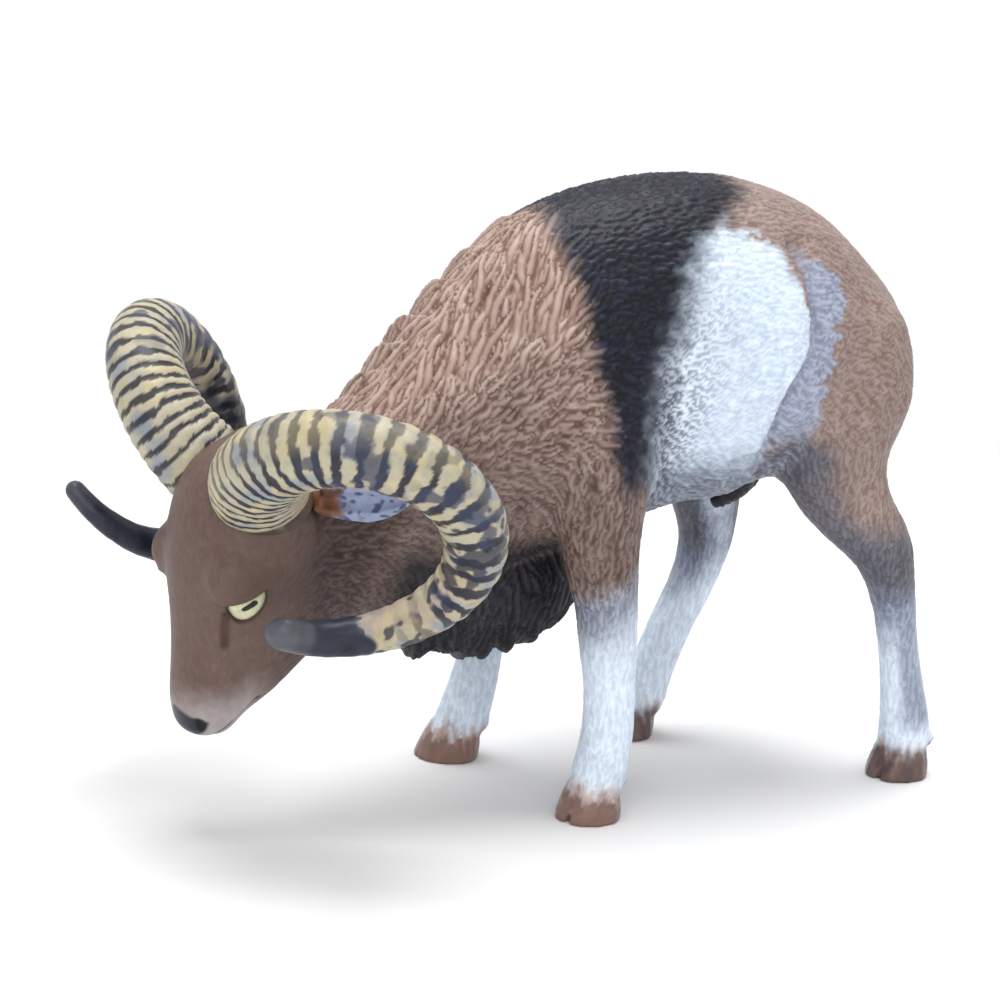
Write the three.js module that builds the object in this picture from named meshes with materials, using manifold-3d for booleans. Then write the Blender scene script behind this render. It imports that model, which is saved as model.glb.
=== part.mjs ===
// Toy mouflon ram, head lowered to graze: a moulded figure, plugged and glued from separate pieces.
// Millimetres, +Z up. The ram looks along -X, its left side is on -Y, and its hooves stand on Z = 0.
// Each body form is a row of stations: where its centre line runs, and the half sizes of its oval
// section there. wide is to each side, over is up or forwards, and under is down or backwards.

import * as THREE from "three";
import Module from "manifold-3d";

const wasm = await Module();
wasm.setup();

// Fits between the pieces
const SEAM_GAP = 0.3;
const LIMB_PLUG_DIAMETER = 5;
const HORN_PLUG_DIAMETER = 4;
const SMALL_PLUG_DIAMETER = 1.8;

// Main sizes of the body
const TRUNK_LENGTH = 72;
const TRUNK_WIDTH = 30;
const TRUNK_DEPTH = 36;
const SPINE_HEIGHT = 50;
const STANCE_WIDTH = 23;
const HEAD_LENGTH = 28;
const HEAD_WIDTH = 17;
const HEAD_DEPTH = 17;
const CANNON_RADIUS = 2.6;

// Trunk and neck, from the rump to the spigot inside the skull
const TRUNK_STATIONS = [
  { along: 1, height: 0.944, wide: 0.25, over: 0.17, under: 0.23 },
  { along: 0.938, height: 0.984, wide: 0.353, over: 0.265, under: 0.325 },
  { along: 0.84, height: 1.008, wide: 0.44, over: 0.415, under: 0.428 },
  { along: 0.722, height: 1.014, wide: 0.5, over: 0.496, under: 0.478 },
  { along: 0.583, height: 1, wide: 0.5, over: 0.525, under: 0.494 },
  { along: 0.444, height: 0.95, wide: 0.447, over: 0.522, under: 0.5 },
  { along: 0.319, height: 0.87, wide: 0.387, over: 0.411, under: 0.472 },
  { along: 0.194, height: 0.77, wide: 0.333, over: 0.306, under: 0.42 },
  { along: 0.09, height: 0.696, wide: 0.287, over: 0.244, under: 0.395 },
  { along: 0, height: 0.648, wide: 0.207, over: 0.172, under: 0.28 },
];
const RUMP_DOME = 3.5;
const SPIGOT_DOME = 3;

// Locks along the crest of the neck: where a tip stands on the trunk's line, and the drop behind it
const CREST_LOCKS = [
  { place: 0.567, drop: 0.3 },
  { place: 0.613, drop: 0.5 },
  { place: 0.657, drop: 0.85 },
  { place: 0.701, drop: 0.95 },
  { place: 0.737, drop: 0.75 },
  { place: 0.779, drop: 0.6 },
  { place: 0.828, drop: 0.4 },
];
const CREST_STEP = 0.006;
const CREST_START = 0.53;
const CREST_END = 0.86;
const BACK_RINGS = 14;
const NAPE_RINGS = 4;

// The fold in front of each thigh, as a groove along a line on the flank
const FLANK_FOLD = [
  { along: 0.738, side: 0.34, height: 1.254 },
  { along: 0.757, side: 0.437, height: 1.152 },
  { along: 0.753, side: 0.48, height: 1.05 },
  { along: 0.72, side: 0.49, height: 0.964 },
  { along: 0.703, side: 0.44, height: 0.854 },
  { along: 0.706, side: 0.38, height: 0.792 },
];
const FLANK_FOLD_HALF = 1.1;

// Head, from the poll down to the muzzle, set out from the end of the neck
const HEAD_STATIONS = [
  { ahead: 0.176, rise: 0.28, wide: 0.353, over: 0.306, under: 0.294 },
  { ahead: 0.294, rise: 0.136, wide: 0.506, over: 0.482, under: 0.459 },
  { ahead: 0.388, rise: -0.08, wide: 0.459, over: 0.459, under: 0.559 },
  { ahead: 0.447, rise: -0.28, wide: 0.382, over: 0.365, under: 0.618 },
  { ahead: 0.529, rise: -0.47, wide: 0.294, over: 0.253, under: 0.518 },
  { ahead: 0.588, rise: -0.614, wide: 0.253, over: 0.188, under: 0.329 },
  { ahead: 0.6, rise: -0.693, wide: 0.212, over: 0.153, under: 0.224 },
];
const POLL_DOME = 3;
const MUZZLE_DOME = 1.8;
const ORBIT = { ahead: 0.588, side: 0.365, rise: -0.1 };
const ORBIT_HALF = new THREE.Vector3(3.6, 2.4, 3.2);

// Horns: about one turn of a tapering coil each, set on the skull at their own angles; the left one opens
// towards its tip, which is worn
const HORNS = {
  horn_left: { side: -1, splay: 26, lean: 41.5, start: 199, turn: 330, tip: 1.9, opening: 0.7 },
  horn_right: { side: 1, splay: 33, lean: 33, start: 203.5, turn: 378, tip: 1.2, opening: -0.2 },
};
const HORN_SEAT = { ahead: 0.47, side: 0.376, rise: 0.225 };
const HORN_PLUG_END = { ahead: 0.447, side: 0.188, rise: 0.072 };
const HORN_ROOT = 3;
const HORN_COIL_RADIUS = 10.8;
const HORN_PITCH = 14.7;
const HORN_BASE_RADIUS = 5.1;
const HORN_FLATTEN = 0.86;
const HORN_RIB_SPACING = 2.1;
const HORN_RIB_HEIGHT = 0.28;
const HORN_SMOOTH_TIP = 12;

// Ears: a cupped leaf each, placed from the horn's seat
const EAR_FROM_HORN = new THREE.Vector3(5.4, 0.6, -1.1);
const EAR_PLUG_END_FROM_HORN = new THREE.Vector3(4.7, -2.4, -1.1);
const EAR_PLUG_ROOT = 1.6;
const EAR_OUTLINE_SHARES = [[0, 0.5], [0.3, 0.85], [0.6, 1], [0.85, 0.7], [1, 0.25]];
const EAR_LENGTH = 10;
const EAR_WIDTH = 4.8;
const EAR_THICKNESS = 2.4;
const EAR_CUP_DEPTH = 1.1;
const EAR_SWEEP = 40;
const EAR_RISE = 6;

// Legs, from the shoulder or the hip down to the pastern, in shares of the leg's own height
const SHOULDER = { along: 0.4375, height: 0.94 };
const HIP = { along: 0.91, height: 1.08 };
const LEGS = {
  leg_front_left: {
    side: -1,
    root: SHOULDER,
    plug: { ahead: -0.011, height: 0.872 },
    sole: { ahead: -0.015, toeOut: 18 },
    stations: [
      { ahead: 0, height: 1, side: 0.82, wide: 1.5, over: 2.3, under: 2.3 },
      { ahead: 0.011, height: 0.83, side: 0.87, wide: 1.6, over: 2.3, under: 2.3 },
      { ahead: 0.006, height: 0.66, side: 0.94, wide: 1.42, over: 1.7, under: 1.65 },
      { ahead: -0.015, height: 0.532, side: 0.98, wide: 1.2, over: 1.3, under: 1.3 },
      { ahead: -0.03, height: 0.426, side: 1, wide: 1.12, over: 1.28, under: 1.15 },
      { ahead: -0.04, height: 0.319, side: 1, wide: 1, over: 1.04, under: 1.08 },
      { ahead: -0.043, height: 0.213, side: 1, wide: 1, over: 1.04, under: 1.12 },
      { ahead: -0.034, height: 0.14, side: 1, wide: 1.08, over: 1.12, under: 1.15 },
      { ahead: -0.021, height: 0.072, side: 1, wide: 1, over: 1.04, under: 1 },
    ],
  },
  leg_front_right: {
    side: 1,
    root: SHOULDER,
    plug: { ahead: -0.011, height: 0.872 },
    sole: { ahead: 0.066, toeOut: 8 },
    stations: [
      { ahead: 0, height: 1, side: 0.82, wide: 1.5, over: 2.3, under: 2.3 },
      { ahead: 0.002, height: 0.83, side: 0.87, wide: 1.6, over: 2.23, under: 2.23 },
      { ahead: -0.019, height: 0.66, side: 0.92, wide: 1.38, over: 1.54, under: 1.54 },
      { ahead: -0.028, height: 0.532, side: 0.97, wide: 1.15, over: 1.23, under: 1.23 },
      { ahead: -0.019, height: 0.426, side: 1, wide: 1.04, over: 1.08, under: 1.08 },
      { ahead: 0, height: 0.298, side: 1, wide: 0.88, over: 0.92, under: 0.96 },
      { ahead: 0.017, height: 0.2, side: 1, wide: 0.92, over: 1, under: 1.08 },
      { ahead: 0.034, height: 0.136, side: 1, wide: 1.04, over: 1.04, under: 1.12 },
      { ahead: 0.057, height: 0.072, side: 1, wide: 1, over: 1.04, under: 1 },
    ],
  },
  leg_hind_left: {
    side: -1,
    root: HIP,
    plug: { ahead: 0.019, height: 0.87 },
    sole: { ahead: -0.167, toeOut: 16 },
    stations: [
      { ahead: 0, height: 1, side: 0.7, wide: 1.62, over: 2.46, under: 1.92 },
      { ahead: 0.019, height: 0.861, side: 0.82, wide: 1.92, over: 3.46, under: 2.72 },
      { ahead: 0.054, height: 0.722, side: 0.85, wide: 1.85, over: 3.08, under: 2.22 },
      { ahead: 0.009, height: 0.604, side: 0.92, wide: 1.5, over: 1.8, under: 1.72 },
      { ahead: -0.057, height: 0.507, side: 0.97, wide: 1.2, over: 1.04, under: 1.7 },
      { ahead: -0.094, height: 0.419, side: 1, wide: 1, over: 0.74, under: 1.14 },
      { ahead: -0.128, height: 0.296, side: 1, wide: 0.88, over: 0.68, under: 0.94 },
      { ahead: -0.157, height: 0.185, side: 1, wide: 0.92, over: 0.96, under: 1.04 },
      { ahead: -0.172, height: 0.111, side: 1, wide: 1.04, over: 1.12, under: 1.15 },
      { ahead: -0.169, height: 0.063, side: 1, wide: 1, over: 1.04, under: 1 },
    ],
  },
  leg_hind_right: {
    side: 1,
    root: HIP,
    plug: { ahead: 0.019, height: 0.87 },
    sole: { ahead: 0.246, toeOut: 6 },
    stations: [
      { ahead: 0, height: 1, side: 0.7, wide: 1.62, over: 2.46, under: 1.92 },
      { ahead: 0.019, height: 0.861, side: 0.82, wide: 1.92, over: 3.46, under: 3.08 },
      { ahead: 0.093, height: 0.715, side: 0.85, wide: 1.77, over: 2.7, under: 3.08 },
      { ahead: 0.112, height: 0.583, side: 0.92, wide: 1.46, over: 1.77, under: 1.95 },
      { ahead: 0.08, height: 0.463, side: 0.99, wide: 1.15, over: 1.25, under: 1.34 },
      { ahead: 0.098, height: 0.359, side: 1, wide: 1, over: 1, under: 0.98 },
      { ahead: 0.15, height: 0.252, side: 1, wide: 0.96, over: 0.95, under: 0.88 },
      { ahead: 0.187, height: 0.167, side: 1, wide: 0.96, over: 0.96, under: 0.92 },
      { ahead: 0.214, height: 0.107, side: 1, wide: 1.04, over: 1.08, under: 1.12 },
      { ahead: 0.236, height: 0.063, side: 1, wide: 1, over: 1.04, under: 1 },
    ],
  },
};
const LEG_TOP_DOME = 2;
const LEG_PLUG_WEB = 3.2;

// Cloven hooves, from the coronet down to the flat sole, with two dewclaws behind each; the soles lie
// SOLE_HEIGHT over the base line that the body's heights are measured from
const HOOF_LENGTH = 7.2;
const HOOF_WIDTH = 6.8;
const HOOF_HEIGHT = 3.65;
const SOLE_HEIGHT = 0.75;
const HOOF_STATIONS = [
  { height: 1, wide: 0.38, over: 0.35, under: 0.4 },
  { height: 0.45, wide: 0.47, over: 0.49, under: 0.43 },
  { height: 0, wide: 0.5, over: 0.6, under: 0.4 },
];
const HOOF_DOME = 1;
const CLEFT_LENGTH = 4.2;
const CLEFT_WIDTH = 0.9;
const CLEFT_HEIGHT = 3.1;
const DEWCLAW_RADIUS = 0.95;
const DEWCLAW_SETBACK = 2.8;
const DEWCLAW_SPREAD = 1.3;
const DEWCLAW_HEIGHT = 4.15;

// Hair hanging from the throat and the brisket in a row of locks
const RUFF_WIDTH = 11.6;
const RUFF_DEPTH = 14;
const RUFF_STATIONS = [
  { along: 0.458, height: 0.56, wide: 0.34, over: 0.29, under: 0.385 },
  { along: 0.397, height: 0.52, wide: 0.48, over: 0.36, under: 0.575 },
  { along: 0.319, height: 0.51, wide: 0.5, over: 0.36, under: 0.59 },
  { along: 0.236, height: 0.51, wide: 0.43, over: 0.36, under: 0.56 },
  { along: 0.167, height: 0.52, wide: 0.26, over: 0.29, under: 0.47 },
];
const RUFF_DOME = 2;
const RUFF_LOCKS = 6;
const RUFF_LOCK_SHARE = 0.06;
const RUFF_PLUGS = [
  { along: 0.25, from: 0.44, to: 0.6 },
  { along: 0.389, from: 0.44, to: 0.68 },
];

// Tail, lying against the rump
const TAIL_LENGTH = 10;
const TAIL_WIDTH = 4.2;
const TAIL_STATIONS = [
  { back: -0.05, drop: -0.23, wide: 0.43, over: 0.4, under: 0.4 },
  { back: 0.36, drop: -0.04, wide: 0.5, over: 0.43, under: 0.43 },
  { back: 0.44, drop: 0.38, wide: 0.48, over: 0.38, under: 0.38 },
  { back: 0.38, drop: 0.76, wide: 0.29, over: 0.21, under: 0.21 },
];
const TAIL_DOMES = [1, 1];
const TAIL_PLUG = { from: { back: 0.46, drop: 0.08 }, to: { back: -0.25, drop: -0.02 } };

// Tuft under the belly
const TUFT_LENGTH = 6.6;
const TUFT_WIDTH = 3.6;
const TUFT_SEAT = { along: 0.808, height: 0.725 };
const TUFT_STATIONS = [
  { back: 0, drop: 0, wide: 0.5, over: 0.5, under: 0.5 },
  { back: -0.31, drop: 0.39, wide: 0.48, over: 0.45, under: 0.45 },
  { back: -0.67, drop: 0.71, wide: 0.18, over: 0.18, under: 0.18 },
];
const TUFT_DOMES = [1, 0.6];
const TUFT_PLUG = { from: { back: -0.34, drop: 0.42 }, to: { back: 0.06, drop: -0.32 } };

// Facets
const LIMB_SIDES = 12;
const HORN_STEPS_PER_RIB = 2;
const DOME_STEPS = [Math.PI / 6, Math.PI / 3];

const SIDES = [-1, 1];
const LATERAL = new THREE.Vector3(0, 1, 0);
const VERTICAL = new THREE.Vector3(0, 0, 1);
const radians = THREE.MathUtils.degToRad;
const clamp = THREE.MathUtils.clamp;

// Places on the body, from shares of its main sizes; the neck's end lies over the origin
const onTrunk = ({ along, height }) => new THREE.Vector3(TRUNK_LENGTH * along, 0, SPINE_HEIGHT * height);
const NECK_END = onTrunk(TRUNK_STATIONS.at(-1));
const RUMP = onTrunk(TRUNK_STATIONS[0]);
const onHead = ({ ahead, side = 0, rise }) =>
  new THREE.Vector3(-HEAD_DEPTH * ahead, HEAD_WIDTH * side, HEAD_LENGTH * rise).add(NECK_END);
const behind = (seat, length, { back, drop }) =>
  new THREE.Vector3(length * back, 0, -length * drop).add(seat);
const onSide = (point, side) => point.clone().setY(side * point.y);

// A station at a point, with its half sizes in millimetres
function station(point, { wide, over, under }, width, depth) {
  return { point, half: new THREE.Vector3(wide * width, over * depth, under * depth) };
}

// Closed skin over rings of points, with a pole at each end
function skin(rings, startPole, endPole) {
  const sides = rings[0].length;
  const last = rings.length - 1;
  const points = [startPole, ...rings.flat(), endPole];
  const at = (ring, side) => 1 + ring * sides + (side % sides);
  const faces = [];
  for (let side = 0; side < sides; side++) {
    faces.push(0, at(0, side), at(0, side + 1));
    for (let ring = 0; ring < last; ring++) {
      faces.push(at(ring, side), at(ring + 1, side), at(ring + 1, side + 1));
      faces.push(at(ring, side), at(ring + 1, side + 1), at(ring, side + 1));
    }
    faces.push(points.length - 1, at(last, side + 1), at(last, side));
  }
  return new THREE.BufferGeometry().setFromPoints(points).setIndex(faces);
}

// Angles at equal steps round a closed ring
function round(sides) {
  return Array.from({ length: sides }, (_, side) => (2 * Math.PI * side) / sides);
}

const evenly = (count) => Array.from({ length: count }, (_, step) => step / (count - 1));

// Oval sections lofted along a smooth centre line, closed by a dome at each end
function loft(stations, form) {
  const { sides, places, domes, grow = 0, ripple = () => 1, crest = () => 0 } = form;
  const smooth = (points) => new THREE.CatmullRomCurve3(points, false, "centripetal");
  const line = smooth(stations.map(({ point }) => point));
  const halves = smooth(stations.map(({ half }) => half));
  const section = (along, shift, scale) => {
    const tangent = line.getTangent(along);
    const centre = line.getPoint(along).addScaledVector(tangent, shift);
    const across = LATERAL.clone().addScaledVector(tangent, -LATERAL.dot(tangent)).normalize();
    const over = across.clone().cross(tangent);
    const half = halves.getPoint(along).addScalar(grow).multiplyScalar(scale);
    return round(sides).map((angle) => {
      const reach = Math.sin(angle) > 0 ? half.y + crest(along) : half.z * ripple(along);
      const rise = Math.sin(angle) * reach;
      return centre.clone().addScaledVector(across, Math.cos(angle) * half.x).addScaledVector(over, rise);
    });
  };
  const pole = (along, shift) => line.getPoint(along).addScaledVector(line.getTangent(along), shift);
  const [startDome, endDome] = domes.map((dome) => dome + grow);
  const start = DOME_STEPS.map((step) => section(0, -startDome * Math.sin(step), Math.cos(step)));
  const tube = places.map((along) => section(along, 0, 1));
  const end = DOME_STEPS.map((step) => section(1, endDome * Math.sin(step), Math.cos(step)));
  return skin([...start.reverse(), ...tube, ...end], pole(0, -startDome), pole(1, endDome));
}

function ellipsoid(centre, half, sides) {
  const levels = sides / 2;
  const point = (level, angle) => {
    const tilt = (Math.PI * level) / levels;
    const flat = new THREE.Vector3(Math.cos(-angle), Math.sin(-angle), 0).multiplyScalar(Math.sin(tilt));
    return flat.setZ(-Math.cos(tilt)).multiply(half).add(centre);
  };
  const ring = (_, level) => round(sides).map((angle) => point(level + 1, angle));
  const rings = Array.from({ length: levels - 1 }, ring);
  return skin(rings, point(0, 0), point(levels, 0));
}

// A geometry as a solid that can be joined and cut
function solid(geometry) {
  const vertProperties = new Float32Array(geometry.getAttribute("position").array);
  const triVerts = new Uint32Array(geometry.index.array);
  return new wasm.Manifold(new wasm.Mesh({ numProp: 3, vertProperties, triVerts }));
}

// A round plug between two points
function plug({ from, to }, diameter, grow = 0) {
  const ahead = to.clone().sub(from);
  const turn = new THREE.Quaternion().setFromUnitVectors(LATERAL, ahead.clone().normalize());
  const radius = diameter / 2 + grow;
  const ring = (height) => round(LIMB_SIDES).map((angle) =>
    new THREE.Vector3(radius * Math.cos(angle), height, radius * Math.sin(angle)));
  const heights = [0, ahead.length() + grow];
  const poles = heights.map((height) => new THREE.Vector3(0, height, 0));
  const upright = skin(heights.map(ring), ...poles);
  return solid(upright.applyQuaternion(turn).translate(from.x, from.y, from.z));
}

const joined = (shapes) => shapes.reduce((whole, shape) => whole.add(shape));
const cutBy = (shape, cutters) => cutters.reduce((rest, cutter) => rest.subtract(cutter), shape);

// Height of the neck's crest against its plain line: each lock rises to its tip and drops behind it
const CREST_KNOTS = [
  [CREST_START, 0],
  ...CREST_LOCKS.flatMap(({ place, drop }) => [[place - CREST_STEP, -drop], [place, 0]]),
  [CREST_END, 0],
];
function crestAt(along) {
  const next = CREST_KNOTS.findIndex(([place]) => along < place);
  if (next < 1) return 0;
  const [[start, low], [end, high]] = CREST_KNOTS.slice(next - 1, next + 1);
  return THREE.MathUtils.mapLinear(along, start, end, low, high);
}

// Trunk and neck in one, with the locks of the crest
function trunkShape(grow = 0) {
  const stations = TRUNK_STATIONS.map((at) => station(onTrunk(at), at, TRUNK_WIDTH, TRUNK_DEPTH));
  const back = evenly(BACK_RINGS).map((share) => CREST_START * share);
  const nape = evenly(NAPE_RINGS).map((share) => CREST_END + (1 - CREST_END) * share);
  const places = [...back, ...CREST_KNOTS.slice(1, -1).map(([place]) => place), ...nape];
  return solid(loft(stations, { sides: 20, places, domes: [RUMP_DOME, SPIGOT_DOME], grow, crest: crestAt }));
}

// The groove that presses a fold into one flank
function flankFold(side) {
  const stations = FLANK_FOLD.map((at) => {
    const point = onTrunk(at).setY(side * TRUNK_WIDTH * at.side);
    return { point, half: new THREE.Vector3(1, 1, 1).multiplyScalar(FLANK_FOLD_HALF) };
  });
  const domes = [FLANK_FOLD_HALF, FLANK_FOLD_HALF];
  return solid(loft(stations, { sides: 8, places: evenly(10), domes }));
}

function headShape(grow = 0) {
  const stations = HEAD_STATIONS.map((at) => station(onHead(at), at, HEAD_WIDTH, HEAD_DEPTH));
  const skull = loft(stations, { sides: 16, places: evenly(16), domes: [POLL_DOME, MUZZLE_DOME], grow });
  const half = ORBIT_HALF.clone().addScalar(grow);
  const orbits = SIDES.map((side) => ellipsoid(onSide(onHead(ORBIT), side), half, LIMB_SIDES));
  return joined([skull, ...orbits].map(solid));
}

// A point of a horn's coil and the way out from the coil's axis there, both for the right-hand side
function coil(share, { splay, lean, start, turn, opening }) {
  const back = new THREE.Vector3(1, 0, 0).applyAxisAngle(VERTICAL, radians(splay));
  const up = VERTICAL.clone().applyAxisAngle(back, radians(-lean));
  const axis = up.clone().cross(back);
  const radial = (angle) => back.clone().multiplyScalar(Math.cos(angle)).addScaledVector(up, Math.sin(angle));
  const outward = radial(radians(start - turn * share));
  const centre = onHead(HORN_SEAT).addScaledVector(radial(radians(start)), -HORN_COIL_RADIUS);
  const point = centre.addScaledVector(outward, HORN_COIL_RADIUS + opening * share * share);
  return { outward, point: point.addScaledVector(axis, (HORN_PITCH * turn * share) / 360) };
}

// A ribbed horn that tapers from the skull to a smooth rounded tip
function hornShape(horn, grow = 0) {
  const { side, turn, tip: tipRadius } = horn;
  const length = radians(turn) * Math.hypot(HORN_COIL_RADIUS, HORN_PITCH / (2 * Math.PI));
  const ribs = Math.round(length / HORN_RIB_SPACING);
  const steps = HORN_STEPS_PER_RIB * ribs;
  const ring = (share, shift, scale) => {
    const { point, outward } = coil(share, horn);
    const ahead = coil(share + 0.001, horn).point.sub(coil(share - 0.001, horn).point).normalize();
    const across = ahead.clone().cross(outward).normalize();
    const taper = THREE.MathUtils.lerp(HORN_BASE_RADIUS, tipRadius, share);
    const relief = clamp((length * (1 - share)) / HORN_SMOOTH_TIP - 1, 0, 1);
    const wave = (1 + Math.cos(2 * Math.PI * ribs * share)) / 2;
    const radius = (taper + HORN_RIB_HEIGHT * relief * wave + grow) * scale;
    point.addScaledVector(ahead, shift);
    return round(LIMB_SIDES).map((angle) => {
      const out = outward.clone().multiplyScalar(radius * Math.cos(angle));
      const rim = out.addScaledVector(across, -side * HORN_FLATTEN * radius * Math.sin(angle));
      return onSide(rim.add(point), side);
    });
  };
  const middle = (points) => points[0].clone().add(points[LIMB_SIDES / 2]).divideScalar(2);
  const root = ring(0, -HORN_ROOT - grow, 1);
  const tube = Array.from({ length: steps + 1 }, (_, step) => ring(step / steps, 0, 1));
  const tipDome = tipRadius + grow;
  const tip = DOME_STEPS.map((step) => ring(1, tipDome * Math.sin(step), Math.cos(step)));
  return solid(skin([root, ...tube, ...tip], middle(root), middle(ring(1, tipDome, 0))));
}

// Where an ear sits and the way it points
function earLine(side) {
  const along = new THREE.Vector3(1, 0, 0)
    .applyAxisAngle(LATERAL, radians(-EAR_RISE))
    .applyAxisAngle(VERTICAL, radians(side * EAR_SWEEP));
  return { along, seat: onSide(onHead(HORN_SEAT).add(EAR_FROM_HORN), side) };
}

// A leaf along the ear, its own hollow scooped from the outer side
function earShape(side) {
  const { along, seat } = earLine(side);
  const outward = new THREE.Vector3(-along.y, along.x, 0).normalize().multiplyScalar(side);
  const leaf = (width, shift) => {
    const stations = EAR_OUTLINE_SHARES.map(([share, spread]) => {
      const point = seat.clone().addScaledVector(along, EAR_LENGTH * share).addScaledVector(outward, shift);
      const half = (width / 2) * spread;
      return { point, half: new THREE.Vector3(EAR_THICKNESS / 2, half, half) };
    });
    const domes = [EAR_THICKNESS / 2, EAR_THICKNESS / 4];
    return solid(loft(stations, { sides: 10, places: evenly(7), domes }));
  };
  return leaf(EAR_WIDTH, 0).subtract(leaf(EAR_WIDTH - EAR_THICKNESS, EAR_THICKNESS - EAR_CUP_DEPTH));
}

// A place on a leg, from shares of its height and of the stance
function onLeg({ side, root }, { ahead, height = 0, side: spread = 1 }) {
  const top = onTrunk(root);
  return new THREE.Vector3(top.x - top.z * ahead, (side * spread * STANCE_WIDTH) / 2, top.z * height);
}

function shaftShape(leg, grow = 0) {
  const stations = leg.stations.map((at) => station(onLeg(leg, at), at, CANNON_RADIUS, CANNON_RADIUS));
  return solid(loft(stations, { sides: LIMB_SIDES, places: evenly(18), domes: [LEG_TOP_DOME, 0], grow }));
}

// A cloven hoof with its dewclaws, turned out and set under its leg
function hoofShape(leg) {
  const { x, y } = onLeg(leg, leg.sole);
  const turnOut = radians(-leg.side * leg.sole.toeOut);
  const placed = (geometry) => solid(geometry.rotateZ(turnOut).translate(x, y, SOLE_HEIGHT));
  const stations = HOOF_STATIONS.map((at) =>
    station(new THREE.Vector3(0, 0, HOOF_HEIGHT * at.height), at, HOOF_WIDTH, HOOF_LENGTH));
  const hoof = placed(loft(stations, { sides: LIMB_SIDES, places: evenly(5), domes: [HOOF_DOME, 0] }));
  const toe = new THREE.Vector3(-stations.at(-1).half.y, 0, 0);
  const cleftHalf = new THREE.Vector3(CLEFT_LENGTH, CLEFT_WIDTH / 2, CLEFT_HEIGHT);
  const cleft = placed(ellipsoid(toe, cleftHalf, LIMB_SIDES));
  const clawHalf = new THREE.Vector3().setScalar(DEWCLAW_RADIUS);
  const dewclaws = SIDES.map((step) => {
    const centre = new THREE.Vector3(DEWCLAW_SETBACK, step * DEWCLAW_SPREAD, DEWCLAW_HEIGHT);
    return placed(ellipsoid(centre, clawHalf, 8));
  });
  return joined([hoof, ...dewclaws]).subtract(cleft);
}

// Plugs that hold the pieces together, each from its own piece into the one that carries it
function legPlug(leg) {
  const from = onLeg(leg, { ...leg.plug, side: leg.stations[1].side });
  return { from, to: from.clone().setY((leg.side * LEG_PLUG_WEB) / 2) };
}

function hornPlug({ side }) {
  return { from: onSide(onHead(HORN_SEAT), side), to: onSide(onHead(HORN_PLUG_END), side) };
}

function earPlug({ side }) {
  const { along, seat } = earLine(side);
  const to = onSide(onHead(HORN_SEAT).add(EAR_PLUG_END_FROM_HORN), side);
  return { from: seat.addScaledVector(along, EAR_PLUG_ROOT), to };
}

const ruffPlugs = RUFF_PLUGS.map(({ along, from, to }) =>
  ({ from: onTrunk({ along, height: from }), to: onTrunk({ along, height: to }) }));
const tuftSeat = onTrunk(TUFT_SEAT);
const hangingPlug = (seat, length, { from, to }) =>
  ({ from: behind(seat, length, from), to: behind(seat, length, to) });
const tailPlug = hangingPlug(RUMP, TAIL_LENGTH, TAIL_PLUG);
const tuftPlug = hangingPlug(tuftSeat, TUFT_LENGTH, TUFT_PLUG);

function ruffShape() {
  const stations = RUFF_STATIONS.map((at) => station(onTrunk(at), at, RUFF_WIDTH, RUFF_DEPTH));
  const ripple = (along) => 1 + RUFF_LOCK_SHARE * Math.cos(2 * Math.PI * RUFF_LOCKS * along);
  return solid(loft(stations, { sides: 14, places: evenly(19), domes: [RUFF_DOME, RUFF_DOME], ripple }));
}

// A small lock of hair that hangs from the trunk
function hangingShape(stations, seat, length, width, domes) {
  const placed = stations.map((at) => station(behind(seat, length, at), at, width, width));
  return solid(loft(placed, { sides: 10, places: evenly(9), domes }));
}

const legs = Object.values(LEGS);
const horns = Object.values(HORNS);
const shaftRoom = legs.map((leg) => shaftShape(leg, SEAM_GAP));
const shapes = {};
shapes.trunk = cutBy(trunkShape(), [
  ...SIDES.map(flankFold),
  ...shaftRoom,
  ...legs.map((leg) => plug(legPlug(leg), LIMB_PLUG_DIAMETER, SEAM_GAP)),
  ...[...ruffPlugs, tailPlug, tuftPlug].map((ends) => plug(ends, SMALL_PLUG_DIAMETER, SEAM_GAP)),
]);
shapes.head = cutBy(headShape(), [
  trunkShape(SEAM_GAP),
  ...horns.map((horn) => plug(hornPlug(horn), HORN_PLUG_DIAMETER, SEAM_GAP)),
  ...horns.map((horn) => plug(earPlug(horn), SMALL_PLUG_DIAMETER, SEAM_GAP)),
]);
for (const [name, horn] of Object.entries(HORNS)) {
  const seated = hornShape(horn).subtract(headShape(SEAM_GAP));
  shapes[name] = seated.add(plug(hornPlug(horn), HORN_PLUG_DIAMETER));
}
for (const [name, horn] of Object.entries({ ear_left: HORNS.horn_left, ear_right: HORNS.horn_right })) {
  const seated = cutBy(earShape(horn.side), [headShape(SEAM_GAP), hornShape(horn, SEAM_GAP)]);
  shapes[name] = seated.add(plug(earPlug(horn), SMALL_PLUG_DIAMETER));
}
for (const [name, leg] of Object.entries(LEGS)) {
  shapes[name] = joined([shaftShape(leg), hoofShape(leg), plug(legPlug(leg), LIMB_PLUG_DIAMETER)]);
}
const seatedRuff = cutBy(ruffShape(), [trunkShape(SEAM_GAP), ...shaftRoom]);
shapes.throat_ruff = joined([seatedRuff, ...ruffPlugs.map((ends) => plug(ends, SMALL_PLUG_DIAMETER))]);
const tail = hangingShape(TAIL_STATIONS, RUMP, TAIL_LENGTH, TAIL_WIDTH, TAIL_DOMES);
shapes.tail = tail.subtract(trunkShape(SEAM_GAP)).add(plug(tailPlug, SMALL_PLUG_DIAMETER));
const tuft = hangingShape(TUFT_STATIONS, tuftSeat, TUFT_LENGTH, TUFT_WIDTH, TUFT_DOMES);
shapes.belly_tuft = tuft.subtract(trunkShape(SEAM_GAP)).add(plug(tuftPlug, SMALL_PLUG_DIAMETER));

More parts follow.
